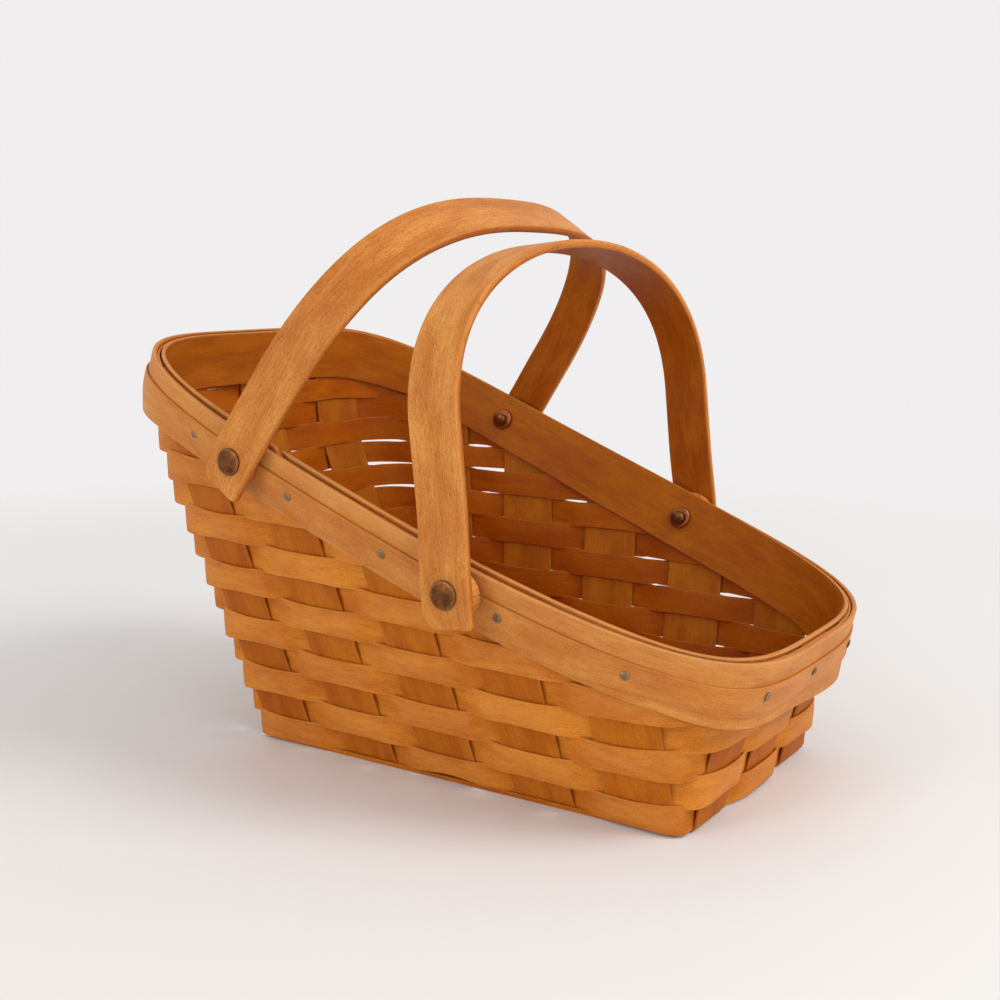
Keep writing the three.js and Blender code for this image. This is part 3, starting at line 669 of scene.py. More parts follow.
# Weavers
WEAVE_SWING = 1.38
WEAVE_HOLD = 2.3
LAP_LIFT = WEAVER_THICK + 0.08
LAP_POSTS = {1: 10, 2: 9, 3: 12, 4: 11, 5: 8}
LAP_REACH = 0.30
SLACK_RISE = 2.3
SLACK_POST = 2.0
SLACK_REACH = 0.42
LAP_RISE = 0.48
FREE_EASE = 5.0
FAR_START, FAR_STOP = (7.6, 8.3), (12.6, 11.8)
FAR_FIRST, NEAR_LAST = 8, 4
CORNER_EASE = (0.15, 0.6)
EDGE_WAVE = 0.15
SWAY = 0.12
CROWN = 0.12
LIFT_POWER = 8
GAP_POWER = 6
WEAVER_EDGE = (0.25, 0.6)
SQUEEZE = 0.98
ROW_SPREAD = 0.3
CORNER_SPREAD = 0.4
GAP_SPREAD = 0.5
# Row below the slit, first and last phase, and height of the slits of light between rows
SLITS = (
    (3, 8.61, 8.67, 0.4), (5, 8.33, 8.67, 0.6), (5, 9.39, 9.50, 0.4), (6, 9.33, 9.61, 0.55),
    (8, 10.33, 10.56, 0.4), (8, 11.33, 11.56, 0.4), (8, 12.34, 12.92, 0.5),
    (9, 11.25, 11.67, 1.1), (9, 12.34, 12.75, 0.45), (10, 11.44, 11.67, 0.7), (10, 12.4, 13.25, 0.45),
    (13, 13.34, 13.66, 1.8), (13, 14.34, 14.66, 1.6),
)
SLIT_EASE = 0.05
# Painted highlight, with some wear, where a weaver bulges out over a stake: its strength and the share of the
# swing it spans
RAISED_WEAR_AND_SHEEN, RAISED_SHEEN_SPAN = 0.8, (0.2, 1.0)
STAND_WALL = 0.35
STAND_FAR = 0.1
STAND_CORNER = 0.85
STAND_PUSH = 0.3
CORNERS = (4.5, 7.5, 12.5, 15.5)


def weave(phase, row):
    """Share of the full swing out of the wall: 1 outside a stake, -1 inside."""
    way = 1 if row % 2 == 1 else -1
    return way * math.tanh(WEAVE_HOLD * math.cos(math.pi * phase)) / math.tanh(WEAVE_HOLD)


def phase_gap(phase, other):
    return abs((phase - other + TURNS / 2) % TURNS - TURNS / 2)


def corner_share(phase):
    """1 at the middle of a corner, falling to 0 over the posts beside it."""
    return 1 - smooth(*CORNER_EASE, min(phase_gap(phase, corner) for corner in CORNERS))


def reach_over(below, phase, closed):
    """How far a row's edge reaches into the gap above the row below, less where a slit is open."""
    place = phase % TURNS
    for row, start, stop, height in SLITS:
        if row == below:
            share = smooth(start - SLIT_EASE, start + SLIT_EASE, place)
            share *= smooth(stop + SLIT_EASE, stop - SLIT_EASE, place)
            closed += share * ((ROW_GAP - height) / 2 - closed)
    return closed


def weaver(row):
    bottom = ROW_START + (row - 1) * ROW_PITCH
    top = bottom + ROW_PITCH - ROW_GAP
    if row <= FULL_ROWS:
        run = ring_run(LAP_POSTS[row] - LAP_REACH, LAP_POSTS[row] + LAP_REACH + TURNS)
    else:
        end_x = rim_x(top + ROW_END_DROP)
        run = ring_run(FAR_FIRST - POST_HALF, TURNS + NEAR_LAST + POST_HALF)
        run = [entry for entry in run if entry[1](top)[0] <= end_x]
    low_wave, high_wave, sway = wave(EDGE_WAVE), wave(EDGE_WAVE), wave(SWAY)
    grid, raised_wear_and_sheen = [], []
    for phase, at, rim in run:
        out = weave(phase, row)
        # Painted highlight with some wear where the weaver bulges out over a stake
        raised_wear_and_sheen.append(RAISED_WEAR_AND_SHEEN * smooth(*RAISED_SHEEN_SPAN, out))
        lift = max(0.0, STAKE_THICK + 2 * CLEARANCE - bottom) * ((1 - out) / 2) ** LIFT_POWER
        far = smooth(*FAR_START, phase % TURNS) * smooth(*FAR_STOP, phase % TURNS)
        corner = corner_share(phase)
        closed = ROW_SPREAD + CORNER_SPREAD * corner + GAP_SPREAD * (1 - out ** GAP_POWER)
        z0 = bottom + lift + (low_wave(phase) - reach_over(row - 1, phase, closed) if row > 1 else 0.0)
        z1 = top + high_wave(phase) + reach_over(row, phase, closed)
        if row == 1:
            z0 += SLACK_RISE * math.exp(-((phase % TURNS - SLACK_POST) / SLACK_REACH) ** 2)
        lap = smooth(-LAP_RISE, -LAP_REACH, phase - LAP_POSTS[row] - TURNS) if row <= FULL_ROWS else 0.0
        free = smooth(-FREE_EASE, 0.0, rim - OUTER_BAND_DROP - (z0 + z1) / 2)
        stand = STAND_WALL + (STAND_FAR - STAND_WALL) * far
        upright = free * (stand + (STAND_CORNER - stand) * corner)
        swing = SQUEEZE + (WEAVE_SWING - SQUEEZE + STAND_PUSH * (1 - far)) * free
        offset = swing * out + sway(phase) * free + LAP_LIFT * lap
        core = np.array(at((z0 + z1) / 2))
        line = []
        for share, crown in ((0.0, -CROWN), (0.5, CROWN), (1.0, -CROWN)):
            z = z0 + share * (z1 - z0)
            p = np.array(at(z))
            away = level_normal(p) * (offset + crown * out)
            p[:2] += upright * (core[:2] - p[:2])
            line.append(p + away)
        grid.append(line)
    middle = run[len(run) // 2]
    outward = wall_normal(middle[1]((bottom + top) / 2))
    profile = rounded_profile(ROW_PITCH - ROW_GAP, WEAVER_THICK, *WEAVER_EDGE)
    name = f"weaver_{row:02d}"
    tone = draw.uniform(*TONES)
    parts = strip_data(grid, WEAVER_THICK, outward, profile, tone, GRAIN_STEP * row, raised_sheen_and_wear=raised_wear_and_sheen)
    new_object(f"{name}_splint", *parts, name, "weaver_splint", WEAVER_WOOD)


# Stakes
WALL_STEP = 3.0
BEND_STEPS = 7
MAT_STEPS = 5
STAKE_LINES = (0.024, 0.25, 0.5, 0.75, 0.976)
STAKE_EDGE = (0.3, 0.6)
CROSS_GRAIN, LENGTH_GRAIN = 11000.0, 16000.0


def bezier(a, corner, b, t):
    return a * (1 - t) ** 2 + corner * (2 * t * (1 - t)) + b * t * t


def leaned(line, z, top):
    """A point on the wall, drawn out a little between the bands of the rim."""
    p = np.array(line(z))
    return p + wall_normal(p) * STAKE_LEAN * max(0.0, pinch(top + STAKE_TOP_DROP - z))


def stake(name, run, place, first, last, bends, kinds, tone, shift):
    """A strip up one wall, round the bend, over and under the base and up the other wall."""
    def wall_lines(edges, kind, sign):
        lines = [between(*edges, share, kind, sign) for share in STAKE_LINES]
        tops = [height_under_rim(line, STAKE_TOP_DROP) for line in lines]
        count = int(max(tops) / WALL_STEP)
        return [[leaned(line, BEND_HEIGHT + (t - BEND_HEIGHT) * k / count, t) for k in range(count + 1)]
                for line, t in zip(lines, tops)]

    walls = [wall_lines(edges, *kind) for edges, kind in zip((first, last), kinds)]
    shares = [k / BEND_STEPS for k in range(1, BEND_STEPS)]
    columns = []
    for i, share in enumerate(STAKE_LINES):
        flat = [np.array(place(at, level, share)) for at, level in run]
        mat = [flat[0]]
        for a, b in zip(flat, flat[1:]):
            for k in range(1, MAT_STEPS + 1):
                t = k / MAT_STEPS
                p = a + (b - a) * t
                p[2] = a[2] + (b[2] - a[2]) * smooth(0, 1, t)
                mat.append(p)
        up, down = walls[0][i], walls[1][i]
        corners = [np.array(place(bend, run[end][1], share)) for bend, end in zip(bends, (0, -1))]
        foot = [bezier(up[0], corners[0], mat[0], t) for t in shares]
        heel = [bezier(mat[-1], corners[1], down[0], t) for t in shares]
        columns.append(up[::-1] + foot + mat + heel + down)
    grid = np.array(columns).transpose(1, 0, 2)
    profile = rounded_profile(STAKE_WIDTH, STAKE_THICK, *STAKE_EDGE)
    parts = strip_data(grid, STAKE_THICK, (0.0, 0.0, -1.0), profile, tone, shift)
    new_object(f"{name}_splint", *parts, name, "stake_splint", STAKE_WOOD)


def mat_run(crossings, starts_over, under=MAT_MIDDLE - MAT_OFFSET, over=MAT_MIDDLE + MAT_OFFSET):
    """Places and levels of a strip that runs over and under the stakes it crosses."""
    reach = STAKE_WIDTH / 2 + CLEARANCE
    run = []
    for i, middle in enumerate(crossings):
        level = over if (i % 2 == 0) == starts_over else under
        run += [(middle - reach, level), (middle + reach, level)]
    return run


def cross_stake(i):
    near, far = WALLS[0][2][i], WALLS[2][2][CROSS_STAKES - 1 - i]
    half = BASE_WIDTH / 2
    stake(
        f"cross_stake_{i + 1}", mat_run(LENGTH_Y, i % 2 == 0),
        lambda y, z, share: (CROSS_X[i] + (share - 0.5) * STAKE_WIDTH, y, z),
        near, far[::-1], (-half, half), (("side", NEAR), ("side", FAR)),
        draw.uniform(*TONES), CROSS_GRAIN + GRAIN_STEP * i,
    )


def length_stake(j):
    low, tall = WALLS[1][2][j], WALLS[3][2][LENGTH_STAKES - 1 - j]
    half = BASE_LENGTH / 2
    stake(
        f"length_stake_{j + 1}", mat_run(CROSS_X, j % 2 == 1),
        lambda x, z, share: (x, LENGTH_Y[j] + (share - 0.5) * STAKE_WIDTH, z),
        tall[::-1], low, (-half, half), (("end", TALL), ("end", LOW)),
        draw.uniform(*TONES), LENGTH_GRAIN + GRAIN_STEP * j,
    )


# Thin splints along the foot of the side walls
EDGE_REACH = (-83.0, 85.5)
EDGE_OFFSET, EDGE_THICK = 1.06, 0.88
EDGE_FOOT, EDGE_HEIGHT = 0.03, 1.57
EDGE_STEPS = 40
EDGE_RIPPLE = 0.06
EDGE_CORNER = (0.25, 0.05)
EDGE_TONE = 0.7


def base_edge(name, side, shift):
    """A thin splint along the foot of a side wall, outside the bends of the stakes."""
    ripple = wave(EDGE_RIPPLE)
    grid = []
    for k, x in enumerate(np.linspace(*EDGE_REACH, EDGE_STEPS + 1)):
        y = BASE_WIDTH / 2 + EDGE_OFFSET + ripple(k)
        grid.append([(x, side * y, EDGE_FOOT + EDGE_HEIGHT * s) for s in (0.0, 0.5, 1.0)])
    profile = rounded_profile(EDGE_HEIGHT, EDGE_THICK, *EDGE_CORNER)
    parts = strip_data(grid, EDGE_THICK, (0.0, side, 0.0), profile, EDGE_TONE, shift)
    new_object(name, *parts, None, "stake_splint", STAKE_WOOD)


SPLINT_MIDDLE = 50.3
SPLINT_WIDTH = 1.7
SPLINT_THICK = 0.8
SPLINT_UNDER, SPLINT_OVER = 0.45, 1.5
SPLINT_STEP = 2.0
SPLINT_CORNER = (0.2, 0.1)
SPLINT_TONE = 0.3


def base_splint(name, side, shift):
    """A narrow splint woven under and over the cross stakes, inside the foot of a side wall."""
    stops = mat_run(CROSS_X, False, SPLINT_UNDER, SPLINT_OVER)
    start, stop = stops[0][0], stops[-1][0]
    grid = []
    for x in np.linspace(start, stop, int((stop - start) / SPLINT_STEP) + 1):
        z = np.interp(x, *zip(*stops))
        grid.append([(x, side * (SPLINT_MIDDLE + SPLINT_WIDTH * s), z) for s in (-0.5, 0.0, 0.5)])
    profile = rounded_profile(SPLINT_WIDTH, SPLINT_THICK, *SPLINT_CORNER)
    parts = strip_data(grid, SPLINT_THICK, (0.0, 0.0, 1.0), profile, SPLINT_TONE, shift)
    new_object(name, *parts, None, "stake_splint", STAKE_WOOD)


# Rim: phase and extra drop of the strips' lower edges
BAND_HANG = ((3.6, 0.0), (4.5, -1.5), (5.8, 0.0), (7.3, 4.6), (8.3, 0.0))
INNER_HANG = ((0.0, 0.0), (12.1, 0.0), (12.7, -3.2), (15.2, -3.2), (15.8, 0.0))
TRIM_HANG = ((0.0, 5.6), (3.3, 5.4), (4.3, 0.0), (12.0, 0.0), (12.8, 5.6), (16.0, 5.6))
NO_HANG = ((0.0, 0.0),)
BULGE = 1.2
BULGE_PHASE = 15.5
BULGE_REACH = 0.5
BULGE_DROPS = (2.0, 14.0)
END_FROM, END_FULL = 0.55, 0.9
RIM_LINES = 5
RIM_FADE = 0.9


def stand_off(p, drop):
    along = slice_shares(*p)[0]
    share = max(0.0, (along - LOW_END_STAND_FROM) / (1 - LOW_END_STAND_FROM))
    return LOW_END_STAND * share * drop / OUTER_BAND_DROP


def pinch(drop):
    """Share of the lean that draws the bands together above their lower edges."""
    return 1 - drop / INNER_BAND_DROP


def end_share(p):
    """0 along the side walls, rising to 1 at the middle of the ends."""
    return smooth(END_FROM, END_FULL, abs(slice_shares(*p)[0]))


def hang(table, phase):
    """How far a strip's lower edge hangs below its drop."""
    return np.interp(phase % TURNS, *zip(*table))


def bulge(phase, drop):
    """The outer strips stand off below the rim at the corner of the tall end and the near wall."""
    share = math.exp(-(phase_gap(phase, BULGE_PHASE) / BULGE_REACH) ** 2)
    return BULGE * share * smooth(*BULGE_DROPS, drop)


def rim_strip(name, node, phases, drops, faces, tone, shift, radius, lean, ripple=0.0, stand=0, bulged=0,
              end_lean=0.0, table=NO_HANG, top_wear=0.0, material=BAND_WOOD):
    """A strip that follows the rim between two drops below it, between two faces from the wall's middle."""
    wobble = wave(ripple)
    run = ring_run(*phases)
    inside, outside = faces
    grid = []
    for phase, at, rim in run:
        line = []
        for k in range(RIM_LINES):
            drop = drops[0] + (drops[1] - drops[0] + hang(table, phase)) * k / (RIM_LINES - 1)
            p = np.array(at(rim - drop))
            away = (lean + end_lean * end_share(p)) * pinch(drop) + (inside + outside) / 2
            away += stand * stand_off(p, drop) + bulged * bulge(phase, drop)
            line.append(p + wall_normal(p) * away + (0, 0, wobble(phase)))
        grid.append(line)
    middle = run[len(run) // 2]
    outward = wall_normal(middle[1](middle[2]))
    profile = rounded_profile(drops[1] - drops[0], outside - inside, radius, RIM_FADE)
    parts = strip_data(grid, outside - inside, outward, profile, tone, shift, top_wear=top_wear)
    new_object(name, *parts, node, "rim_band", material)


# Handles
def pivot_of(where):
    """Where a handle's rivets pass through the rim, and how the wall slopes there."""
    stake_number, shift, *_ = HANDLES[where]
    line = cross_line(stake_number, FAR, shift)
    z = height_under_rim(line, PIVOT_DROP)
    x = line(z)[0]

    def half_width(px, pz):
        return side_point(pz, px, FAR)[1]
    slope = (half_width(x, z + PROBE) - half_width(x, z - PROBE)) / (2 * PROBE)
    splay = (half_width(x + PROBE, z) - half_width(x - PROBE, z)) / (2 * PROBE)
    stretch = math.sqrt(1 + slope ** 2 + splay ** 2)
    wall = half_width(x, z)
    trim = wall + TRIM_OUTSIDE * stretch
    inner = wall - (BAND_FACE + INNER_BAND_THICK) * stretch
    return {"x": x, "z": z, "slope": slope, "splay": splay, "trim": trim, "inner": inner}


def rim_reach():
    """The rim's greatest reach to the side, which the handles clear."""
    reach = 0.0
    for at in (edge for edges in POSTS for edge in edges):
        top = height_under_rim(at)
        for z, offset in ((top, OUTER_BAND_FACE), (top - TRIM_TOP_DROP, TRIM_OUTSIDE)):
            p = np.array(at(z))
            reach = max(reach, abs((p + wall_normal(p) * offset)[1]))
    return reach


PIVOTS = {where: pivot_of(where) for where in HANDLES}
HANDLE_INSIDE = rim_reach() + HANDLE_RIM_GAP
HANDLE_OUTSIDE = HANDLE_INSIDE + HANDLE_THICK
ARCH_SAMPLES = 600
LEG_SAMPLES = 60
LEG_DRAW = 1.6
HANDLE_STEP = 3.0
LEG_DRAW_IN, LEG_DRAW_OUT = (0.0, 30.0), (60.0, 100.0)
TIP_STOPS = (0.0, 0.35, 0.8, 1.5, 2.5, HANDLE_TAB_CHAMFER, HANDLE_TAB_CHAMFER + 1.2)
TIP_ROUND = 1.4
TIP_CUT, TIP_ROUNDING = 0.9, 0.5
BLUNT, BLUNT_REACH = 0.7, 0.8
HANDLE_WOBBLE, HANDLE_WOBBLES = 0.12, 12
HANDLE_LINES = (0.0, 0.25, 0.5, 0.75, 1.0)
HANDLE_EDGE = (0.5, 1.0)
HANDLE_END = 0.3


def drawn_in(z):
    """How far the legs draw together between the rim and the shoulders."""
    return LEG_DRAW * smooth(*LEG_DRAW_IN, z) * (1 - smooth(*LEG_DRAW_OUT, z))


def handle_path(rise, leg, squareness):
    """Middle line of the bent strip, from one tab's tip to the other's, at even steps: (y, z)."""
    power = 2 / squareness
    span = HANDLE_INSIDE + HANDLE_THICK / 2
    height = rise - HANDLE_THICK / 2
    straight = np.linspace(-HANDLE_TAB, leg, LEG_SAMPLES, endpoint=False)
    dense = [(-span, z) for z in straight]
    for k in range(ARCH_SAMPLES + 1):
        t = math.pi * k / ARCH_SAMPLES
        arch = max(0.0, math.sin(t)) ** power
        dense.append((-span * signed_power(math.cos(t), power), leg + (height - leg) * arch))
    dense += [(span, z) for z in straight[::-1]]
    dense = np.array([(y - math.copysign(drawn_in(z), y), z) for y, z in dense])
    run = np.concatenate([[0.0], np.cumsum(np.linalg.norm(np.diff(dense, axis=0), axis=1))])
    total = run[-1]
    tip = TIP_STOPS[-1]
    count = int((total - 2 * tip) / HANDLE_STEP)
    inner = np.linspace(tip, total - tip, count + 1)[1:-1]
    stops = [*TIP_STOPS, *inner, *(total - t for t in reversed(TIP_STOPS))]
    y, z = np.interp(stops, run, dense[:, 0]), np.interp(stops, run, dense[:, 1])
    return stops, total, np.stack([y, z], axis=1)


def tab_edges(distance):
    """Edges of the strip a distance from its tip: one corner cut off, the other nearly square."""
    half = HANDLE_WIDTH / 2
    cut = max(0.0, HANDLE_TAB_CHAMFER - distance) * TIP_CUT
    if distance < TIP_ROUND:
        cut += TIP_ROUNDING * (1 - distance / TIP_ROUND) ** 2
    blunt = BLUNT * max(0.0, 1 - distance / BLUNT_REACH) ** 2
    return -half + cut, half - blunt


def handle(where, tone, shift):
    _, _, rise, leg, squareness, lean, _ = HANDLES[where]
    pivot = PIVOTS[where]
    stops, total, path = handle_path(rise, leg, squareness)
    turn = math.radians(lean)
    wobble = [draw.uniform(-HANDLE_WOBBLE, HANDLE_WOBBLE) for _ in range(HANDLE_WOBBLES)]
    grid = []
    for stop, (y, z) in zip(stops, path):
        left, right = tab_edges(min(stop, total - stop))
        share = stop / total * (len(wobble) - 1)
        k = min(int(share), len(wobble) - 2)
        t = smooth(0, 1, share - k)
        ease = wobble[k] * (1 - t) + wobble[k + 1] * t
        line = []
        for s in HANDLE_LINES:
            x = (left - ease) * (1 - s) + (right + ease) * s
            line.append((
                pivot["x"] + x * math.cos(turn) + z * math.sin(turn),
                y,
                pivot["z"] - x * math.sin(turn) + z * math.cos(turn),
            ))
        grid.append(line)
    outward = (math.sin(turn), 0.0, math.cos(turn))
    profile = rounded_profile(HANDLE_WIDTH, HANDLE_THICK, *HANDLE_EDGE, steps=4, faces=4)
    parts = strip_data(grid, HANDLE_THICK, outward, profile, tone, shift, ends=HANDLE_END)
    name = f"{where}_handle"
    new_object(f"{name}_bow", *parts, name, "handle_wood", HANDLE_WOOD, body=name)


# Turned hardware: profiles hold (radius, along, wear)
ROUND = 48
SEAT = 0.05
BURR_BACK = 1.2
SPACER_SINK = 0.95
SPACER_BEVEL, SPACER_ROUND = 0.5, 0.12
SPACER_TONE = 0.35
TACK_TILT = 0.06


def turned(profile, place):
    """Solid of revolution about local Y; place maps local points to the basket."""
    vertices, wear, rings = [], [], []
    for radius, along, worn in profile:
        count = ROUND if radius > TINY else 1
        rings.append(range(len(vertices), len(vertices) + count))
        for k in range(count):
            a = 2 * math.pi * k / ROUND
            vertices.append(place((radius * math.cos(a), along, radius * math.sin(a))))
            wear.append(worn)
    faces = []
    for a, b in zip(rings, rings[1:]):
        for k in range(ROUND):
            n = (k + 1) % ROUND
            if len(a) == 1:
                faces.append((a[0], b[n], b[k]))
            elif len(b) == 1:
                faces.append((a[k], a[n], b[0]))
            else:
                faces.append((a[k], a[n], b[n], b[k]))
    return vertices, facing_out(vertices, faces), {"wear": wear}


def hardware(name, profile, place, slot, material):
    new_object(f"{name}_turned", *turned(profile, place), name, slot, material)


def rivet(name, pivot, side):
    face = HANDLE_OUTSIDE + SEAT
    tilt = math.hypot(pivot["slope"], pivot["splay"]) * PEEN_RADIUS
    peen = pivot["inner"] - 2 * CLEARANCE - BURR_THICK - tilt
    neck = peen + tilt + 0.5
    top = face + CLEARANCE + RIVET_HEAD_THICK - 0.1
    r, t = RIVET_HEAD_RADIUS, PEEN_THICK
    profile = [
        (0, peen - t, 0.2), (0.9, peen - t * 0.97, 0.2), (1.7, peen - t * 0.85, 0.3),
        (2.3, peen - t * 0.6, 0.5), (2.75, peen - t * 0.25, 0.6), (PEEN_RADIUS, peen, 0.3),
        (PEEN_RADIUS, neck, 0), (RIVET_SHANK_RADIUS, neck, 0), (RIVET_SHANK_RADIUS, face, 0),
        (r - 0.25, face, 0.2), (r, face + 0.2, 0.5), (r, face + 0.55, 0.8), (r - 0.12, face + 0.8, 1.0),
        (r - 0.45, face + 1.02, 0.9), (r - 0.8, face + 1.1, 0.5), (0.72 * r, face + 1.16, 0.2),
        (0.45 * r, top - 0.14, 0.15), (0.2 * r, top - 0.03, 0.25), (0, top, 0.3),
    ]

    def place(p):
        return np.array([pivot["x"] + p[0] * side, side * p[1], pivot["z"] + p[2]])
    hardware(name, profile, place, "rivet_metal", RIVET_METAL)


def burr(name, pivot, side):
    """A washer on the sloping inside of the rim."""
    r, t = BURR_RADIUS, BURR_THICK
    profile = [
        (RIVET_SHANK_RADIUS, BURR_BACK, 0), (r - 0.2, BURR_BACK, 0.2), (r, BURR_BACK - 0.2, 0.6),
        (r, -0.45 * t, 0.9), (r - 0.25, -0.7 * t, 0.8), (0.78 * r, -0.86 * t, 0.3), (0.64 * r, -t, 0.6),
        (0.52 * r, -0.95 * t, 0.2), (0.46 * r, -0.8 * t, 0), (RIVET_SHANK_RADIUS, -0.75 * t, 0),
        (RIVET_SHANK_RADIUS, BURR_BACK, 0),
    ]

    def place(p):
        tilt = pivot["splay"] * p[0] + pivot["slope"] * p[2]
        return np.array([pivot["x"] + p[0], side * (pivot["inner"] - SEAT + tilt + p[1]), pivot["z"] + p[2]])
    hardware(name, profile, place, "burr_metal", BURR_METAL)


def spacer(name, pivot, side, radius, shift):
    """A wedge washer of wood between the sloping trim and the upright foot of the handle."""
    outside = HANDLE_INSIDE - SEAT
    profile = [
        (RIVET_SHANK_RADIUS, 0.0, 0), (radius - SPACER_BEVEL, 0.0, 0.3), (radius - SPACER_ROUND, 0.14, 1),
        (radius, 0.5, 1), (radius - SPACER_ROUND, 0.86, 1), (radius - SPACER_BEVEL, 1.0, 0.4),
        (RIVET_SHANK_RADIUS, 1.0, 0), (RIVET_SHANK_RADIUS, 0.0, 0),
    ]

    def place(p):
        seat = pivot["trim"] - SPACER_SINK + pivot["splay"] * p[0] + pivot["slope"] * p[2]
        seat = min(seat, outside - SPACER_EDGE)
        return np.array([pivot["x"] + p[0], side * (seat + p[1] * (outside - seat)), pivot["z"] + p[2]])
    vertices, faces, data = turned(profile, place)
    x, _, z = np.transpose(vertices)
    data["strip"] = np.stack([z + shift, x + ACROSS_SHIFT * shift, np.ones(len(x))], axis=1)
    data["tone"] = np.full(len(x), SPACER_TONE)
    new_object(f"{name}_turned", vertices, faces, data, name, "handle_wood", HANDLE_WOOD)


def tack(name, at):
    drop = TRIM_TOP_DROP + TRIM_HEIGHT / 2
    seat = np.array(at(height_under_rim(at, drop)))
    normal = wall_normal(seat)
    origin = seat + normal * (TRIM_SEEN + stand_off(seat, drop) - PINCH_OUTER * pinch(drop))
    lean = Vector(normal) + Vector([draw.uniform(-TACK_TILT, TACK_TILT) for _ in range(3)])
    turn = Vector((0, 1, 0)).rotation_difference(lean.normalized())
    r, t, shank = TACK_HEAD_RADIUS, TACK_HEAD_THICK, TACK_SHANK_RADIUS
    profile = [
        (0, -2.6, 0), (shank * 0.6, -2.2, 0), (shank, -1.6, 0), (shank, -SEAT, 0), (r - 0.1, -SEAT, 0.2),
        (r, 0.1, 0.5), (r, 0.3 * t, 0.9), (r - 0.1, 0.6 * t, 1.0), (r - 0.35, 0.82 * t, 0.6),
        (0.45 * r, 0.95 * t, 0.25), (0, t, 0.3),
    ]

    def place(p):
        return origin + np.array(turn @ Vector(p))
    hardware(name, profile, place, "tack_metal", TACK_METAL)


# Assembly
for number in range(1, ROWS + 1):
    weaver(number)
for i in range(CROSS_STAKES):
    cross_stake(i)
for j in range(LENGTH_STAKES):
    length_stake(j)

SIDES = (("near", NEAR), ("far", FAR))
SEAM = 0.02
INNER_START, OUTER_START, TRIM_START = 1.12, 9.0, 9.1
rim_strip(
    "inner_band_bent", "inner_band", (INNER_START, INNER_START + TURNS - SEAM), (0.0, INNER_BAND_DROP),
    (-INNER_SEEN, -BAND_FACE), tone=0.5, shift=21000.0, radius=0.4, lean=PINCH_INNER, ripple=0.15,
    end_lean=PINCH_END, table=INNER_HANG)
rim_strip(
    "outer_band_bent", "outer_band", (OUTER_START, OUTER_START + TURNS - SEAM), (0.0, OUTER_BAND_DROP),
    (BAND_FACE, OUTER_BAND_FACE), tone=0.55, shift=22000.0, radius=0.35, lean=-PINCH_OUTER, ripple=0.15,
    stand=1, bulged=1, table=BAND_HANG, top_wear=0.8)
rim_strip(
    "trim_strip_bent", "trim_strip", (TRIM_START, TRIM_START + TURNS - SEAM),
    (TRIM_TOP_DROP, TRIM_TOP_DROP + TRIM_HEIGHT), (OUTER_BAND_FACE + 0.02, TRIM_SEEN), tone=0.5,
    shift=23000.0, radius=0.2, lean=-PINCH_OUTER, ripple=0.1, stand=1, bulged=1, table=TRIM_HANG,
    material=TRIM_WOOD)
FILLER_OUT = BAND_FACE - 0.05
for end_name, phases, drops, inside, grain in (
        ("low", (4.55, 7.62), (0.9, 16.0), 0.8, 24000.0),
        ("tall", (12.6, 15.66), (1.1, 11.0), 0.75, 25000.0)):
    rim_strip(f"rim_filler_{end_name}", None, phases, drops, (inside, FILLER_OUT),
              tone=0.6, shift=grain, radius=0.3, lean=-PINCH_OUTER)

for order, (side_name, side) in enumerate(SIDES):
    base_edge(f"base_edge_{side_name}", side, 26000.0 + 1000.0 * order)
for order, (side_name, side) in enumerate(SIDES):
    base_splint(f"base_splint_{side_name}", side, 28000.0 + 1000.0 * order)

for order, where in enumerate(HANDLES):
    handle(where, 0.35 + 0.3 * order, 30000.0 + 900.0 * order)
    for side_name, side in SIDES:
        foot = f"{where}_{side_name}"
        rivet(f"rivet_{foot}", PIVOTS[where], side)
        burr(f"burr_{foot}", PIVOTS[where], side)
        grain = 33000.0 + 50.0 * order + 20.0 * side
        spacer(f"spacer_{foot}", PIVOTS[where], side, HANDLES[where][-1], grain)

for i, shift in enumerate(SIDE_TACK_SHIFTS):
    for side_name, side in SIDES:
        tack(f"tack_{side_name}_{i + 1}", cross_line(i + 1, side, shift))
for i, y in enumerate(END_TACK_Y):
    for end_name, end in (("low", LOW), ("tall", TALL)):
        tack(f"tack_{end_name}_{i + 1}", lambda z: end_point(z, y, end))

# Stage: a pale floor that runs out of sight, soft lamps and a pale world
BACKDROP = (0.875, 0.86, 0.86)
FLOOR_FADE = (0.28, 0.75)
FLOOR_SIZE = 6.0
FLOOR_COLOURS = ((0.77, 0.755, 0.745), (0.80, 0.785, 0.775))
FLOOR_CLOUDS = 3.0
FLOOR_ROUGHNESS = 0.6
FLOOR_SHINE = 0.2
WORLD_STRENGTH = 0.74
LAMP_AIM = (0.0, 0.0, 0.08)
# Name, place, size across, power and colour
LAMPS = (
    ("key_lamp", (1.1, 0.32, 1.2), 0.8, 12.0, (1.0, 0.98, 0.95)),
    ("fill_lamp", (-0.5, -1.55, 0.65), 0.7, 6.0, (1.0, 0.99, 0.97)),
    ("low_lamp", (1.3, -0.6, 0.3), 0.5, 2.2, (1.0, 0.99, 0.97)),
)


def seen_ray(s):
    """1 for rays that show the background: straight to the camera, mirrored or through glass."""
    rays = s.add("LightPath", {}, None)
    total = rays["Is Camera Ray"]
    for other in ("Is Glossy Ray", "Is Transmission Ray"):
        total = s.math("MAXIMUM", total, rays[other])
    return total


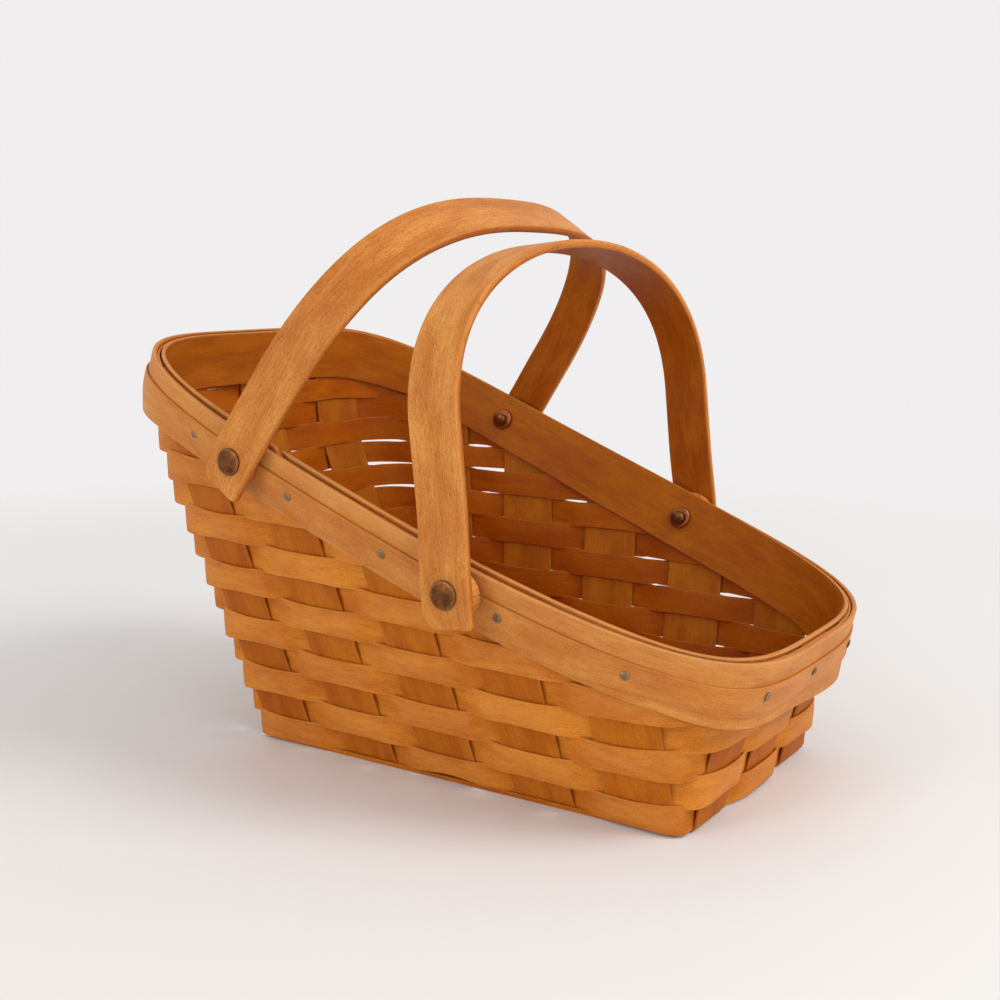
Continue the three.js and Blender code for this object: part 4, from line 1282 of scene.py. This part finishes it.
def stage_floor():
    mesh = bpy.data.meshes.new("floor")
    corners = [(-1, -1), (1, -1), (1, 1), (-1, 1)]
    mesh.from_pydata([(FLOOR_SIZE * x, FLOOR_SIZE * y, 0) for x, y in corners], [], [(0, 1, 2, 3)])
    material = bpy.data.materials.new("floor_paint")
    s = Shader(material)
    here = s.place()
    clouds = s.add("VectorMath", {0: here, "Scale": FLOOR_CLOUDS}, operation="SCALE")
    s.set("Base Color", s.mix(s.noise(clouds, detail=2.0), *FLOOR_COLOURS))
    s.set("Roughness", FLOOR_ROUGHNESS)
    s.set("Specular IOR Level", FLOOR_SHINE)
    away = s.ramp(s.add("VectorMath", {0: here}, "Value", operation="LENGTH"), *FLOOR_FADE)
    s.show(s.times(away, seen_ray(s)), s.add("Emission", {"Color": BACKDROP}), "Material Output")
    mesh.materials.append(material)
    added("floor", mesh)


def area_lamp(name, place, size, power, colour):
    data = bpy.data.lights.new(name, "AREA")
    data.shape = "DISK"
    data.size = size
    data.energy = power
    data.color = colour
    lamp = added(name, data)
    lamp.location = place
    lamp.rotation_mode = "QUATERNION"
    lamp.rotation_quaternion = (Vector(LAMP_AIM) - Vector(place)).to_track_quat("-Z", "Y")


def studio_world():
    world = bpy.data.worlds.new("studio")
    bpy.context.scene.world = world
    s = Shader(world, "Background")
    s.set("Color", (1.0, 1.0, 1.0))
    s.set("Strength", WORLD_STRENGTH)
    s.show(seen_ray(s), s.add("Background", {"Color": BACKDROP}), "World Output")


stage_floor()
for lamp_facts in LAMPS:
    area_lamp(*lamp_facts)
studio_world()

# Camera at the photograph's viewing angle
YAW, PITCH, ROLL = 0.5611, 0.1663, 0.0168
TARGET = np.array([-108.97, 145.73, 63.0]) * MM
DISTANCE = 713.2 * MM
FOCAL = 1.4149
SENSOR = 36.0
CLIP = (0.01, 50.0)
forward = np.array([-math.sin(YAW) * math.cos(PITCH), math.cos(YAW) * math.cos(PITCH), -math.sin(PITCH)])
level = np.array([math.cos(YAW), math.sin(YAW), 0.0])
upward = np.cross(level, forward)
right = math.cos(ROLL) * level + math.sin(ROLL) * upward
up = -math.sin(ROLL) * level + math.cos(ROLL) * upward
lens = bpy.data.cameras.new("camera")
lens.sensor_width = SENSOR
lens.sensor_fit = "HORIZONTAL"
lens.lens = SENSOR * FOCAL
lens.clip_start, lens.clip_end = CLIP
camera = added("camera", lens)
rows = np.column_stack([right, up, -forward, TARGET - forward * DISTANCE])
camera.matrix_world = Matrix([*rows.tolist(), (0.0, 0.0, 0.0, 1.0)])
bpy.context.scene.camera = camera
bpy.context.scene.view_settings.view_transform = "Standard"
